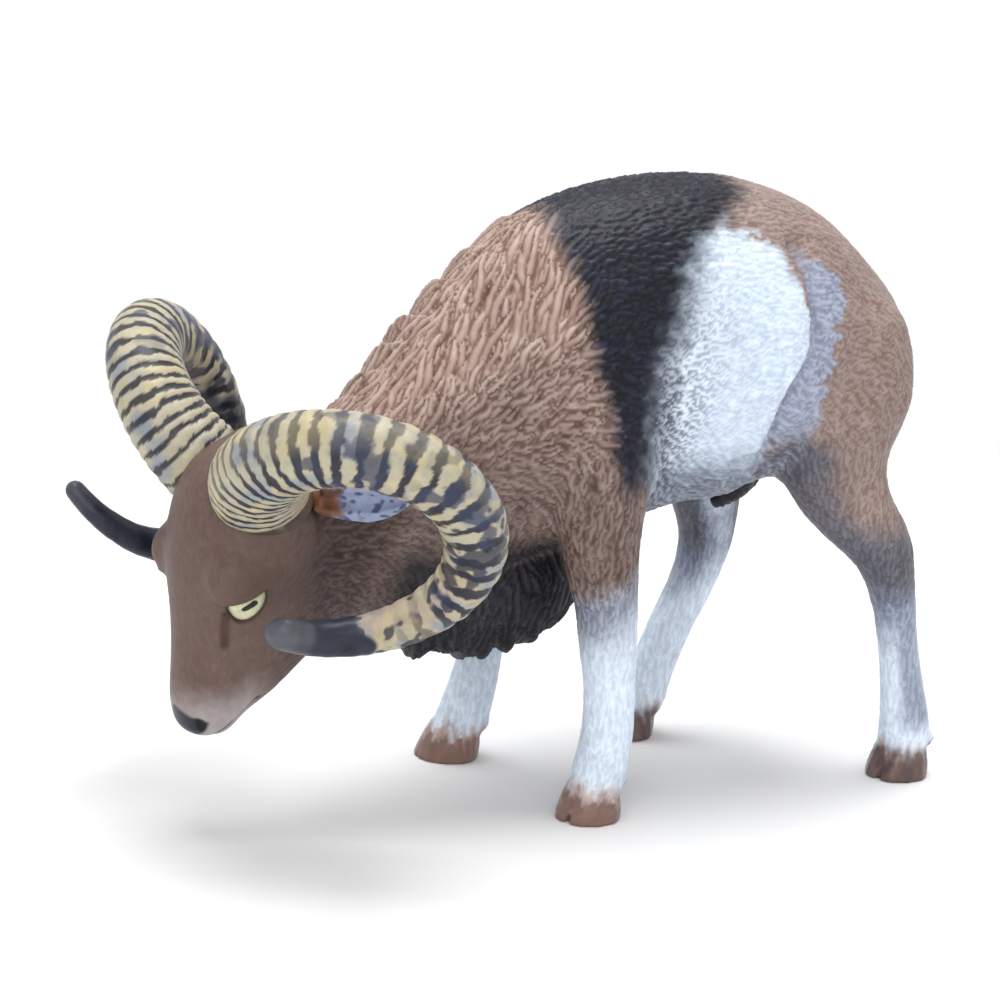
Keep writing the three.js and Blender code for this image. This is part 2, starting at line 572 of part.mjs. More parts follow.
const FINISHES = {
  coat: { color: "#7b5c4d", roughness: 0.55 },
  horn: { color: "#c6b68f", roughness: 0.5 },
  ear: { color: "#a0704e", roughness: 0.55 },
  white_leg: { color: "#cfccd2", roughness: 0.5 },
  dark_hair: { color: "#2a2425", roughness: 0.5 },
};
const WORN_BY = {
  horn_left: "horn",
  horn_right: "horn",
  ear_left: "ear",
  ear_right: "ear",
  leg_front_left: "white_leg",
  leg_front_right: "white_leg",
  leg_hind_left: "white_leg",
  leg_hind_right: "white_leg",
  throat_ruff: "dark_hair",
  belly_tuft: "dark_hair",
};

const figure = new THREE.Group();
for (const [name, shape] of Object.entries(shapes)) {
  const { vertProperties, triVerts } = shape.getMesh();
  const geometry = new THREE.BufferGeometry();
  geometry.setAttribute("position", new THREE.BufferAttribute(vertProperties, 3));
  geometry.setIndex(new THREE.BufferAttribute(triVerts, 1));
  geometry.computeVertexNormals();
  const finish = FINISHES[WORN_BY[name] ?? "coat"];
  const mesh = new THREE.Mesh(geometry, new THREE.MeshStandardMaterial({ ...finish, metalness: 0 }));
  mesh.name = name;
  figure.add(mesh);
}

// The middle of the box's underside is the origin, so the soles come down to Z = 0
const box = new THREE.Box3().setFromObject(figure);
const middle = box.getCenter(new THREE.Vector3());
for (const mesh of figure.children) {
  mesh.position.set(-middle.x, -middle.y, -box.min.z);
}

export default figure;
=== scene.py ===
"""Looks of a small painted figure: a mouflon ram that lowers its head to graze.

The soft pieces of the figure are grown into one skin. The skin is modelled, combed into moulded
fur and painted, and then parted again along the seams, so that each piece is a closed mesh of its
own. Working lengths are millimetres from the drawing's own origin: the ram looks along -X, its
left side is on -Y, and Z is up. Finished meshes are in metres, in the frame of the solids.
"""

import logging
import math
from collections.abc import Iterable, Iterator
from dataclasses import dataclass, field
from enum import Enum, IntEnum

import bmesh
import bpy
import numpy as np
from mathutils import Matrix, Vector
from mathutils.bvhtree import BVHTree
from mathutils.kdtree import KDTree


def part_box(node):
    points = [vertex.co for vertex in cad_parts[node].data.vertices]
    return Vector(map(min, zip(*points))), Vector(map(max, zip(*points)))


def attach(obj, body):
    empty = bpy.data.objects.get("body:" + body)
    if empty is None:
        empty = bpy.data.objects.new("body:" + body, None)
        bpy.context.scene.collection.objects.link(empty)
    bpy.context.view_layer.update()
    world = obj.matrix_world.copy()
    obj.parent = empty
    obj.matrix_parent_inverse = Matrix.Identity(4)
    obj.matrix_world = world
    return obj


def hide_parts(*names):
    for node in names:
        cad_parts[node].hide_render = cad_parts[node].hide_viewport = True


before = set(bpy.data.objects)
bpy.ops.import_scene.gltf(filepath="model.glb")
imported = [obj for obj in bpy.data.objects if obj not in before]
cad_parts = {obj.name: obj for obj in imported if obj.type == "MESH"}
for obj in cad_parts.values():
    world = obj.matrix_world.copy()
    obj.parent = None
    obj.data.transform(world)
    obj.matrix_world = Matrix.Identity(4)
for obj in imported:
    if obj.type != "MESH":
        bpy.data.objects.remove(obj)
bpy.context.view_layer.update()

LOG = logging.getLogger("mouflon")
Array = np.ndarray
Place = tuple[float, float, float]
Line = tuple[tuple[float, float], ...]
MM = 0.001
BODY = "root"

# Attributes that carry the paint and the skin's normals over to the pieces
PAINT = "paint"
SKIN_NORMAL = "skin_normal"

# Distance at which the loose corners of a copied solid are merged, and the darkest paint in linear light
WELD = 0.001
DARKEST = 0.003

# Keeps a length from being divided by nothing
TINY = 1e-6

# Where the drawing's origin lies in the frame of the solids, and how high the soles are above it
ORIGIN = Vector((-0.277, 0.219, -0.75))
SOLE = -ORIGIN.z

# Middle plane of the figure, its eyes and its nose
MID_Y = (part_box("trunk")[0].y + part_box("trunk")[1].y) / 2 / MM - ORIGIN.y
LEFT_EYE = (-39.8, -8.2, 27.2)
RIGHT_EYE = (LEFT_EYE[0], 2 * MID_Y - LEFT_EYE[1], LEFT_EYE[2])
NOSE = (-42.2, MID_Y, 13.6)

# Spots where the mesh of the skin is made finer, each with its radius
FINE_SPOTS = ((NOSE, 7.5), (LEFT_EYE, 3.4), (RIGHT_EYE, 3.4), (LEFT_EYE, 2.7), (RIGHT_EYE, 2.7))


class Node(Enum):
    """Soft pieces of the figure that share one skin."""

    TRUNK = "trunk"
    HEAD = "head"
    FRONT_LEFT = "leg_front_left"
    FRONT_RIGHT = "leg_front_right"
    HIND_LEFT = "leg_hind_left"
    HIND_RIGHT = "leg_hind_right"
    RUFF = "throat_ruff"
    TAIL = "tail"
    TUFT = "belly_tuft"


FRONT_LEGS = (Node.FRONT_LEFT, Node.FRONT_RIGHT)
HIND_LEGS = (Node.HIND_LEFT, Node.HIND_RIGHT)

# How far the flat facets of each solid are rounded off
ROUNDING = {
    Node.TRUNK: 0.5,
    Node.HEAD: 0.22,
    Node.RUFF: 0.25,
    **dict.fromkeys((*FRONT_LEGS, *HIND_LEGS, Node.TAIL, Node.TUFT), 0.1),
}


def linear(screen: str) -> Array:
    """Turn a screen colour into linear light.

    Args:
        screen: The colour as "#rrggbb".

    Returns:
        Red, green and blue between 0 and 1.
    """
    part = np.array([int(screen[k:k + 2], 16) for k in (1, 3, 5)]) / 255
    return np.where(part <= 0.04045, part / 12.92, ((part + 0.055) / 1.055) ** 2.4)


def ease(low: float, high: float, value: Array) -> Array:
    """Rise smoothly from 0 at low to 1 at high; low may be the larger one.

    Args:
        low: Value at which the rise starts.
        high: Value at which it is complete.
        value: Values to look up.

    Returns:
        Shares between 0 and 1.
    """
    share = np.clip((value - low) / (high - low), 0, 1)
    return share * share * (3 - 2 * share)


def noise(points: Array, cell: float, seed: int) -> Array:
    """Smooth lattice noise.

    Args:
        points: Places, one row each.
        cell: Size of the lattice's cells.
        seed: Picks one of many patterns.

    Returns:
        Values between -1 and 1.
    """
    place = points / cell
    corner = np.floor(place).astype(np.int64)
    share = place - corner
    share = share * share * (3 - 2 * share)
    total = np.zeros(len(points))
    for step in np.ndindex(2, 2, 2):
        key = (corner + np.array(step)) * np.array([73856093, 19349663, 83492791])
        mixed = key[:, 0] ^ key[:, 1] ^ key[:, 2] ^ (seed * 2654435761)
        mixed = ((mixed ^ (mixed >> 13)) * 1274126177) & 0xFFFFFFFF
        weight = np.prod(np.where(np.array(step) == 1, share, 1 - share), axis=1)
        total += weight * ((mixed >> 8) & 0xFFFF) / 0x7FFF
    return total - 1


def curve(values: Array, points: Line) -> Array:
    """Read a line drawn through a few points.

    Args:
        values: Where to read it.
        points: Pairs of place and height, in rising order of place.

    Returns:
        The line's height at each value.
    """
    places, heights = np.array(points).T
    return np.interp(values, places, heights)


def mesh_points(mesh: bpy.types.Mesh) -> Array:
    """Read the points of a mesh.

    Args:
        mesh: Any mesh.

    Returns:
        One row of coordinates for each point.
    """
    flat = np.empty(len(mesh.vertices) * 3)
    mesh.vertices.foreach_get("co", flat)
    return flat.reshape(-1, 3)


def solids_copy(names: Iterable[str]) -> bmesh.types.BMesh:
    """Copy solids into one body in working millimetres, with their loose corners merged.

    Args:
        names: Nodes of the solids.

    Returns:
        The copy.
    """
    body = bmesh.new()
    for name in names:
        body.from_mesh(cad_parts[name].data)
    bmesh.ops.scale(body, vec=(1 / MM,) * 3, verts=body.verts)
    bmesh.ops.translate(body, vec=-ORIGIN, verts=body.verts)
    bmesh.ops.remove_doubles(body, verts=body.verts, dist=WELD)
    return body


def remeshed(body: bmesh.types.BMesh, name: str, voxel: float, even_rounds: int = 0) -> bpy.types.Mesh:
    """Cover a body with one skin of small even squares.

    Args:
        body: The body, which is freed.
        name: Name of the new mesh.
        voxel: Edge of the squares.
        even_rounds: How often the skin is smoothed afterwards.

    Returns:
        The mesh of the skin.
    """
    rough = bpy.data.meshes.new(f"{name}_rough")
    body.to_mesh(rough)
    body.free()
    holder = bpy.data.objects.new(f"{name}_rough", rough)
    bpy.context.scene.collection.objects.link(holder)
    voxels = holder.modifiers.new("voxels", "REMESH")
    voxels.mode = "VOXEL"
    voxels.voxel_size = voxel
    if even_rounds:
        even = holder.modifiers.new("even", "SMOOTH")
        even.iterations = even_rounds
    graph = bpy.context.evaluated_depsgraph_get()
    mesh = bpy.data.meshes.new_from_object(holder.evaluated_get(graph))
    mesh.name = name
    bpy.data.objects.remove(holder)
    return mesh


class Grain(Enum):
    """Patterns of chance: size of the cells, number of the pattern, and how the points are squeezed."""

    PATTERN_LINES = (0.45, 8, (0.25, 0.25, 1.0))
    BAND_FLECKS = (0.8, 9)
    FORELEG_FADING = (2.2, 5)
    HIND_LEG_FADING = (2.2, 6)
    HOOF_HAIRS = (0.5, 7, (1.0, 1.0, 0.3))
    FLOW_SWEEP = (4.5, 21)
    FLOW_STRAY = (1.6, 22)
    CREST_BREAKS = (1.0, 31, (0.4, 1.0, 0.4))
    RUFF_TIPS = (1.5, 33, (1.0, 0.3, 0.0))
    BRUSH_UP = (1.1, 41)
    BRUSH_BACK = (1.1, 42)
    BRUSH_LEVEL = (0.8, 43)
    COAT_CLOUDS = (5.0, 44)
    COAT_DULLNESS = (0.7, 45)
    HOOF_STREAKS = (0.5, 46, (1.0, 1.0, 0.25))
    NOSE_EDGE = (0.8, 51)
    RIB_SWAY = (3.2, 61)
    RIB_WAVER = (1.3, 62)
    RIB_JAGS = (0.55, 51)
    RIB_BREAKS = (1.5, 63)
    RIB_BREAK_EDGE = (0.6, 54)
    RIB_FADING = (3.0, 59)
    HORN_PITS = (0.7, 64)
    HORN_GREY = (2.4, 65)
    HORN_GREY_EDGE = (0.7, 55)
    HORN_CREAM = (2.2, 60)
    HORN_CREAM_EDGE = (0.7, 56)
    HORN_TAN = (4.0, 66)
    HORN_BLOTS = (2.4, 67)
    HORN_BLOT_EDGE = (0.7, 53)
    HORN_SMEARS = (1.3, 58)
    HORN_SMEAR_FIELDS = (4.0, 57)
    HORN_SMEAR_EDGE = (0.6, 52)
    HORN_SHADE_EDGE = (1.6, 50)
    TIP_EDGE = (2.2, 68)
    TIP_BLOTS = (2.0, 69)
    TIP_WEAR = (1.1, 70)
    EAR_WARMTH = (1.4, 71)
    EAR_EDGE = (0.8, 72)
    EAR_SPECKLES = (0.5, 73, (0.5, 1.0, 1.0))

    def at(self, points: Array) -> Array:
        """Read the pattern, between -1 and 1, at each point."""
        cell, seed, squeeze = (*self.value, (1.0, 1.0, 1.0))[:3]
        return noise(points * np.array(squeeze), cell, seed)


class Border(Enum):
    """Soft borders of the pattern: where a share is still 0, and where it has become 1."""

    # Height above the middle line of the neck, and x
    CREST_FOOT = (5.5, 9.5)
    CREST_REAR = (0, -6)

    # The feet and the tops are heights, and the fronts and the rears are x
    SHOULDER_TOP = (47, 37)
    SHOULDER_REAR = (5, -1)
    SADDLE_FOOT = (33, 36.5)
    STREAK_FOOT = (39, 43.5)
    STREAK_TOP = (63.5, 60)
    BAND_FOOT = (33.5, 36.5)
    BAND_WIDENS = (47, 40)
    BELLY_TOP = (43, 37)
    BELLY_FRONT = (2, 6)
    BELLY_REAR = (34, 26)
    RUMP_PATCH_FRONT = (38, 45)
    RUMP_PATCH_TOP = (46, 40)

    # Distance behind or below a line of the pattern
    RUMP_FRONT = (-1, 1)
    SADDLE_FRONT = (-4, -2)
    SADDLE_REAR = (1.0, 0.1)
    SADDLE_TOP = (-1.2, 2.0)
    STREAK_FRONT = (-1.0, -0.1)
    STREAK_REAR = (0.5, -0.5)
    BAND_FRONT = (-1.2, 1.2)
    BAND_REAR = (1, 0)
    BEHIND_FOLD = (-0.3, 0.5)

    # Height on the legs, where FORELEG_REAR is x and HOOF_TOP is measured from the top of the hoof
    FORELEG_TOP = (40, 36)
    FORELEG_REAR = (7, 4)
    FORELEG_SHADE = (29.5, 26)
    FORELEG_WHITE = (26.5, 19.5)
    THIGH_TOP = (43, 39)
    HIND_LEG_GREY = (33, 28.5)
    HIND_LEG_SHADE = (25.5, 20.5)
    HIND_LEG_WHITE = (23.5, 16)
    ABOVE_HOOF = (6, 9)
    HOOF_TOP = (1.3, -1.3)

    # Distance from the middle plane, and how far a surface faces outwards or ahead
    LEG_INNER = (9.5, 6.5)
    FACES_OUT = (-0.2, 0.2)
    OUTER_SIDE = (0.55, 0.95)
    FACES_AHEAD = (0.05, 0.6)

    # The tops on the throat and the head are heights, and the fronts and the rears are x
    THROAT_TOP = (33, 29.5)
    THROAT_FRONT = (-25, -20)
    THROAT_REAR = (5, 1)
    # Borders of the painted shade on the cheek and neck under the horn
    SHADED_CHEEK_REAR = (-22, -27)
    SHADED_CHEEK_TOP = (43, 37)
    FACE_REAR = (-29.5, -36)
    MUZZLE_TOP = (18.6, 13.0)
    MUZZLE_REAR = (-33, -37.5)

    def at(self, value: Array) -> Array:
        """Give the share, between 0 and 1, at each value."""
        return ease(*self.value, value)


@dataclass(frozen=True)
class Tone:
    """One zone's paint: in the grooves, on the flats and dry-brushed on the ridges."""

    shade: str
    flat: str
    ridge: str
    rough: float = 0.45

    def colours(self) -> Array:
        """Give the three colours as rows of linear light."""
        return np.array([linear(self.shade), linear(self.flat), linear(self.ridge)])


@dataclass(frozen=True)
class Fur:
    """Moulded strokes of one zone, in millimetres; cover is strokes to the square millimetre."""

    length: float
    width: float
    height: float
    wave: float
    cover: float

    def row(self) -> Array:
        """Give the style as a row of numbers."""
        return np.array([self.length, self.width, self.height, self.wave, self.cover])


class Trait(IntEnum):
    """Columns of a style of fur, in the order of the fields of Fur."""

    LENGTH = 0
    WIDTH = 1
    HEIGHT = 2
    WAVE = 3
    COVER = 4


class Zone(Enum):
    """Zones of the coat, each with its paint and its fur."""

    CREST = (Tone("#5e3f34", "#a58b7f", "#cbb7ac", 0.42), Fur(6.4, 0.8, 0.28, 0.12, 2.1))
    MANE = (Tone("#573a32", "#927c73", "#bda89f", 0.42), Fur(2.7, 0.64, 0.34, 0.2, 2.6))
    SHOULDER = (Tone("#4d3a36", "#7b6861", "#978680", 0.45), Fur(2.1, 0.58, 0.2, 0.16, 3.0))
    BAND = (Tone("#07080e", "#121320", "#2c3046", 0.46), Fur(1.8, 0.6, 0.28, 0.16, 3.6))
    RUMP = (Tone("#7a6055", "#968580", "#a8988f", 0.48), Fur(1.7, 0.55, 0.12, 0.16, 3.6))
    SADDLE = (Tone("#bccadd", "#d9e7f7", "#e6f0fb", 0.42), Fur(1.9, 0.5, 0.075, 0.1, 3.6))
    STREAK = (Tone("#7d8296", "#a0a6ba", "#bcc4d6", 0.45), Fur(1.7, 0.5, 0.12, 0.08, 3.6))
    FLANK = (Tone("#46464f", "#5f5f6a", "#77777f", 0.45), Fur(1.8, 0.5, 0.1, 0.1, 3.4))
    BELLY = (Tone("#3d3f4b", "#747a8b", "#aeb6c8", 0.45), Fur(2.2, 0.62, 0.24, 0.14, 2.8))
    LEG = (Tone("#c8d4e5", "#dfecfb", "#ebf5fe", 0.42), Fur(2.4, 0.5, 0.08, 0.08, 2.8))
    SHADED = (Tone("#70788b", "#8b93a6", "#a9b2c3", 0.42), Fur(2.4, 0.5, 0.1, 0.08, 2.8))
    RUFF = (Tone("#0c0b10", "#27252b", "#4a474f", 0.42), Fur(6.0, 0.62, 0.38, 0.1, 2.6))
    FACE = (Tone("#645049", "#69564f", "#6e5b55", 0.5), Fur(1.3, 0.5, 0.02, 0.04, 2.2))
    # Moulded fur of the cheek and upper neck inside the horn's coil, painted darker than the face as painted
    # shade
    SHADED_CHEEK = (Tone("#372929", "#554544", "#74635e", 0.46), Fur(2.4, 0.6, 0.18, 0.2, 2.6))
    MUZZLE = (Tone("#aaa1a0", "#aea5a4", "#b2aaa9", 0.5), Fur(1.0, 0.5, 0.0, 0.02, 2.0))
    HOOF = (Tone("#80665c", "#92766c", "#a98d83", 0.26), Fur(1.0, 0.6, 0.0, 0.0, 0.0))

    @property
    def tone(self) -> Tone:
        """Paint of the zone."""
        return self.value[0]

    @property
    def fur(self) -> Fur:
        """Strokes of the zone."""
        return self.value[1]


class Mark(Enum):
    """Paints of the marks, the horns and the ears: the colour, and how dull it dries."""

    # Painted shade in the groove of the flank's fold
    FOLD_PAINTED_SHADE = ("#5d5a64", 0.45)
    DARK_STROKE = ("#343746", 0.45)
    HOOF_STREAK = ("#c2aca2", 0.26)
    HIND_HOOF_DARK = ("#4c4145", 0.26)
    TEAR = ("#3d2822", 0.5)
    NOSE_PAD = ("#31333d", 0.33)
    NOSTRIL = ("#0d0d12", 0.4)
    MOUTH = ("#33211d", 0.5)
    EYE_RIM = ("#2c1d1a", 0.4)
    EYEBALL = ("#d6d8b2", 0.2)
    PUPIL = ("#11131a", 0.15)
    HORN = ("#b3ac96", 0.42)
    HORN_GREY = ("#8f949c", 0.42)
    HORN_CREAM = ("#bfb28c", 0.42)
    HORN_TAN = ("#a88d7a", 0.42)
    HORN_GROOVE = ("#191b2c", 0.38)
    HORN_BLOT = ("#343a52", 0.38)
    HORN_SMEAR = ("#252839", 0.38)
    # Painted shade on the back of the far horn
    HORN_PAINTED_SHADE = ("#1c1d2a", 0.4)
    HORN_TIP = ("#2e313e", 0.38)
    TIP_BLOT = ("#212330", 0.34)
    TIP_WORN = ("#75767c", 0.35)
    HORN_ROOT = ("#4a3a33", 0.5)
    EAR = ("#6a4b40", 0.45)
    EAR_WARM = ("#966242", 0.42)
    # Grey-blue of the ear's tip, lightened by a painted highlight
    EAR_GREY_AND_HIGHLIGHT = ("#a3b2d2", 0.42)
    EAR_SPECKLE = ("#2f3b66", 0.45)

    def row(self) -> Array:
        """Give red, green, blue and roughness as a row."""
        screen, rough = self.value
        return np.append(linear(screen), rough)

    def ground(self, count: int) -> Array:
        """Give the paint of a piece of so many points that has this paint alone."""
        return np.tile(self.row(), (count, 1))

    def lay(self, colour: Array, share: Array) -> None:
        """Lay the paint over others.

        Args:
            colour: Red, green, blue and roughness of each point, changed in place.
            share: How much of this paint lies on each point.
        """
        colour += np.clip(share, 0, 1)[:, None] * (self.row() - colour)


@dataclass
class Skin:
    """The soft pieces grown into one surface, with what is known at each of its points."""

    grow: float = 0.18
    voxel: float = 0.306
    seam_rounds: int = 6
    soft_rounds: int = 24
    facet_rounds: int = 120
    upper_leg_rounding: float = 0.4
    mesh: bpy.types.Mesh = field(init=False)
    points: Array = field(init=False)
    normals: Array = field(init=False)
    edges: Array = field(init=False)
    shares: dict[Node, Array] = field(init=False)
    owner: Array = field(init=False)

    def __post_init__(self) -> None:
        """Fuse the solids, ease their facets away and refine the face."""
        self.mesh = self._fused()
        self._read()
        self._own()
        self._ease_facets()
        self._refine()
        self._read()
        self._own()

    def _fused(self) -> bpy.types.Mesh:
        """Grow copies of the soft solids into each other.

        Returns:
            One closed mesh in millimetres.
        """
        body = solids_copy(node.value for node in Node)
        body.normal_update()
        for vert in body.verts:
            vert.co += self.grow * vert.normal
        mesh = remeshed(body, "skin", self.voxel)
        self._keep_outer_shell(mesh)
        return mesh

    @staticmethod
    def _keep_outer_shell(mesh: bpy.types.Mesh) -> None:
        """Drop closed hollows inside the skin.

        Args:
            mesh: The fused mesh, changed in place.
        """
        body = bmesh.new()
        body.from_mesh(mesh)
        body.verts.ensure_lookup_table()
        start = max(body.verts, key=lambda vert: vert.co.z)
        reached = {start.index}
        front = [start]
        while front:
            vert = front.pop()
            for edge in vert.link_edges:
                other = edge.other_vert(vert)
                if other.index not in reached:
                    reached.add(other.index)
                    front.append(other)
        inner = [vert for vert in body.verts if vert.index not in reached]
        bmesh.ops.delete(body, geom=inner, context="VERTS")
        body.to_mesh(mesh)
        body.free()

    def _read(self) -> None:
        """Take points, normals and edges from the mesh."""
        self.points = mesh_points(self.mesh)
        pairs = np.empty(len(self.mesh.edges) * 2, np.int32)
        self.mesh.edges.foreach_get("vertices", pairs)
        self.edges = pairs.reshape(-1, 2)
        self._read_normals()

    def _read_normals(self) -> None:
        """Take the normals from the mesh."""
        flat = np.empty(len(self.mesh.vertices) * 3, np.float32)
        self.mesh.vertex_normals.foreach_get("vector", flat)
        self.normals = flat.reshape(-1, 3).astype(float)

    def write(self) -> None:
        """Put the points into the mesh and read the new normals."""
        self.mesh.vertices.foreach_set("co", self.points.astype(np.float32).ravel())
        self.mesh.update()
        self._read_normals()

    def spread(self, values: Array, rounds: int, factor: Array | float = 0.5) -> Array:
        """Even values out between neighbours.

        Args:
            values: One row for each point.
            rounds: How often it is done.
            factor: Share of the way to the neighbours' mean, for all points or for each.

        Returns:
            The evened values.
        """
        first, second = self.edges.T
        count = len(self.points)
        degree = np.bincount(first, minlength=count) + np.bincount(second, minlength=count)
        share = np.broadcast_to(factor, count)
        evened = np.ascontiguousarray(values.astype(float).reshape(count, -1).T)
        for row in evened:
            for _ in range(rounds):
                total = np.bincount(first, row[second], count)
                total += np.bincount(second, row[first], count)
                row += share * (total / degree - row)
        return evened.T.reshape(values.shape).copy()

    def _own(self) -> None:
        """Find the solid that each point lies on, with soft shares across the seams."""
        corners: list[Vector] = []
        faces: list[tuple[int, ...]] = []
        owners: list[int] = []
        for index, node in enumerate(Node):
            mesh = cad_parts[node.value].data
            start = len(corners)
            corners.extend(vert.co / MM - ORIGIN for vert in mesh.vertices)
            faces.extend(tuple(start + k for k in face.vertices) for face in mesh.polygons)
            owners.extend([index] * len(mesh.polygons))
        tree = BVHTree.FromPolygons(corners, faces)
        nearest = [tree.find_nearest(point)[2] for point in self.points]
        found = np.array(owners)[nearest]
        marks = np.eye(len(Node))[found]
        self.owner = np.argmax(self.spread(marks, self.seam_rounds), axis=1)
        soft = self.spread(np.eye(len(Node))[self.owner], self.soft_rounds)
        self.shares = {node: soft[:, index] for index, node in enumerate(Node)}

    def part(self, *nodes: Node) -> Array:
        """Add up the shares of some solids at each point."""
        return sum(self.shares[node] for node in nodes)

    def _ease_facets(self) -> None:
        """Round the flat facets of the solids off, least on thin limbs and hooves."""
        factor = sum(weight * self.shares[node] for node, weight in ROUNDING.items())
        high = self.points[:, 2]
        upper_leg = ease(26, 36, high) * (1 - self.shares[Node.HEAD] - self.shares[Node.RUFF])
        factor = np.maximum(factor, self.upper_leg_rounding * np.clip(upper_leg, 0, 1))
        factor = factor * (0.06 + 0.94 * ease(4.5, 7.5, high))
        self.points = self.spread(self.points, self.facet_rounds, factor)
        self.write()

    def _refine(self) -> None:
        """Make the mesh finer round the eyes and the muzzle."""
        for centre, radius in FINE_SPOTS:
            body = bmesh.new()
            body.from_mesh(self.mesh)
            middle = Vector(centre)
            near = [
                edge for edge in body.edges
                if ((edge.verts[0].co + edge.verts[1].co) / 2 - middle).length < radius
            ]
            bmesh.ops.subdivide_edges(body, edges=near, cuts=1, use_grid_fill=True)
            bmesh.ops.triangulate(body, faces=[face for face in body.faces if len(face.verts) > 4])
            body.to_mesh(self.mesh)
            body.free()

    def lift(self, amount: Array) -> None:
        """Move every point along its normal.

        Args:
            amount: Millimetres for each point.
        """
        self.points = self.points + amount[:, None] * self.normals
        self.write()


@dataclass(frozen=True)
class Bulge:
    """A soft swelling or hollow of the skin on both sides of the body.

    side is measured from the middle plane, and lift is negative for a hollow.
    """

    x: float
    side: float
    z: float
    radius: float
    lift: float

    def amount(self, points: Array) -> Array:
        """Work out the lift.

        Args:
            points: Places on the skin.

        Returns:
            Millimetres for each point.
        """
        side = np.abs(points[:, 1] - MID_Y)
        reach = (points[:, 0] - self.x) ** 2 + (side - self.side) ** 2 + (points[:, 2] - self.z) ** 2
        return self.lift * np.exp(-reach / self.radius ** 2)


@dataclass(frozen=True)
class Crease:
    """A groove pressed along a line of points (x, side, z) on both sides of the body."""

    line: tuple[Place, ...]
    width: float
    depth: float

    def distance(self, points: Array) -> Array:
        """Measure how far points are from the line.

        Args:
            points: Places on the skin.

        Returns:
            Millimetres for each point.
        """
        place = points.copy()
        place[:, 1] = np.abs(place[:, 1] - MID_Y)
        best = np.full(len(points), np.inf)
        for start, end in zip(np.array(self.line), np.array(self.line)[1:]):
            along = end - start
            share = np.clip((place - start) @ along / (along @ along), 0, 1)
            best = np.minimum(best, np.linalg.norm(place - start - share[:, None] * along, axis=1))
        return best

    def amount(self, points: Array) -> Array:
        """Give the negative lift at each point."""
        return -self.depth * np.exp(-((self.distance(points) / self.width) ** 2))


FOLD_LINE = (
    (23.0, 10.2, 62.7), (24.0, 12.0, 60.3), (24.4, 13.1, 57.6), (24.3, 14.0, 55.0), (24.1, 14.4, 52.5),
    (23.3, 14.8, 50.7), (21.7, 14.7, 48.2), (20.8, 14.4, 45.8), (20.5, 13.2, 42.7), (20.7, 11.4, 39.6),
)
MOUTH_LINE = (
    (-34.4, 2.6, 16.6), (-35.7, 3.3, 15.4), (-37.6, 3.0, 13.4), (-39.2, 2.6, 12.2), (-40.6, 0.0, 11.4),
)
TEAR_LINE = ((-41.0, 5.8, 25.7), (-40.9, 5.4, 24.0), (-40.6, 5.1, 22.3))


class Form(Enum):
    """Swellings, hollows and grooves of the skin."""

    SHOULDER = Bulge(x=2.0, side=12.5, z=44.0, radius=7.0, lift=0.5)
    THIGH = Bulge(x=33.5, side=12.0, z=47.0, radius=8.0, lift=0.6)
    BROW = Bulge(x=-41.6, side=5.4, z=31.0, radius=2.4, lift=0.35)
    CHEEK_HOLLOW = Bulge(x=-37.0, side=8.2, z=22.5, radius=3.4, lift=-0.35)
    NOSTRIL = Bulge(x=-41.9, side=2.7, z=13.2, radius=0.8, lift=-0.45)
    THROAT = Bulge(x=-29.5, side=3.5, z=23.5, radius=3.5, lift=1.3)
    MOUTH = Crease(MOUTH_LINE, width=0.4, depth=0.4)
    TEAR = Crease(TEAR_LINE, width=0.45, depth=0.3)
    FOLD = Crease(FOLD_LINE, width=0.7, depth=0.6)


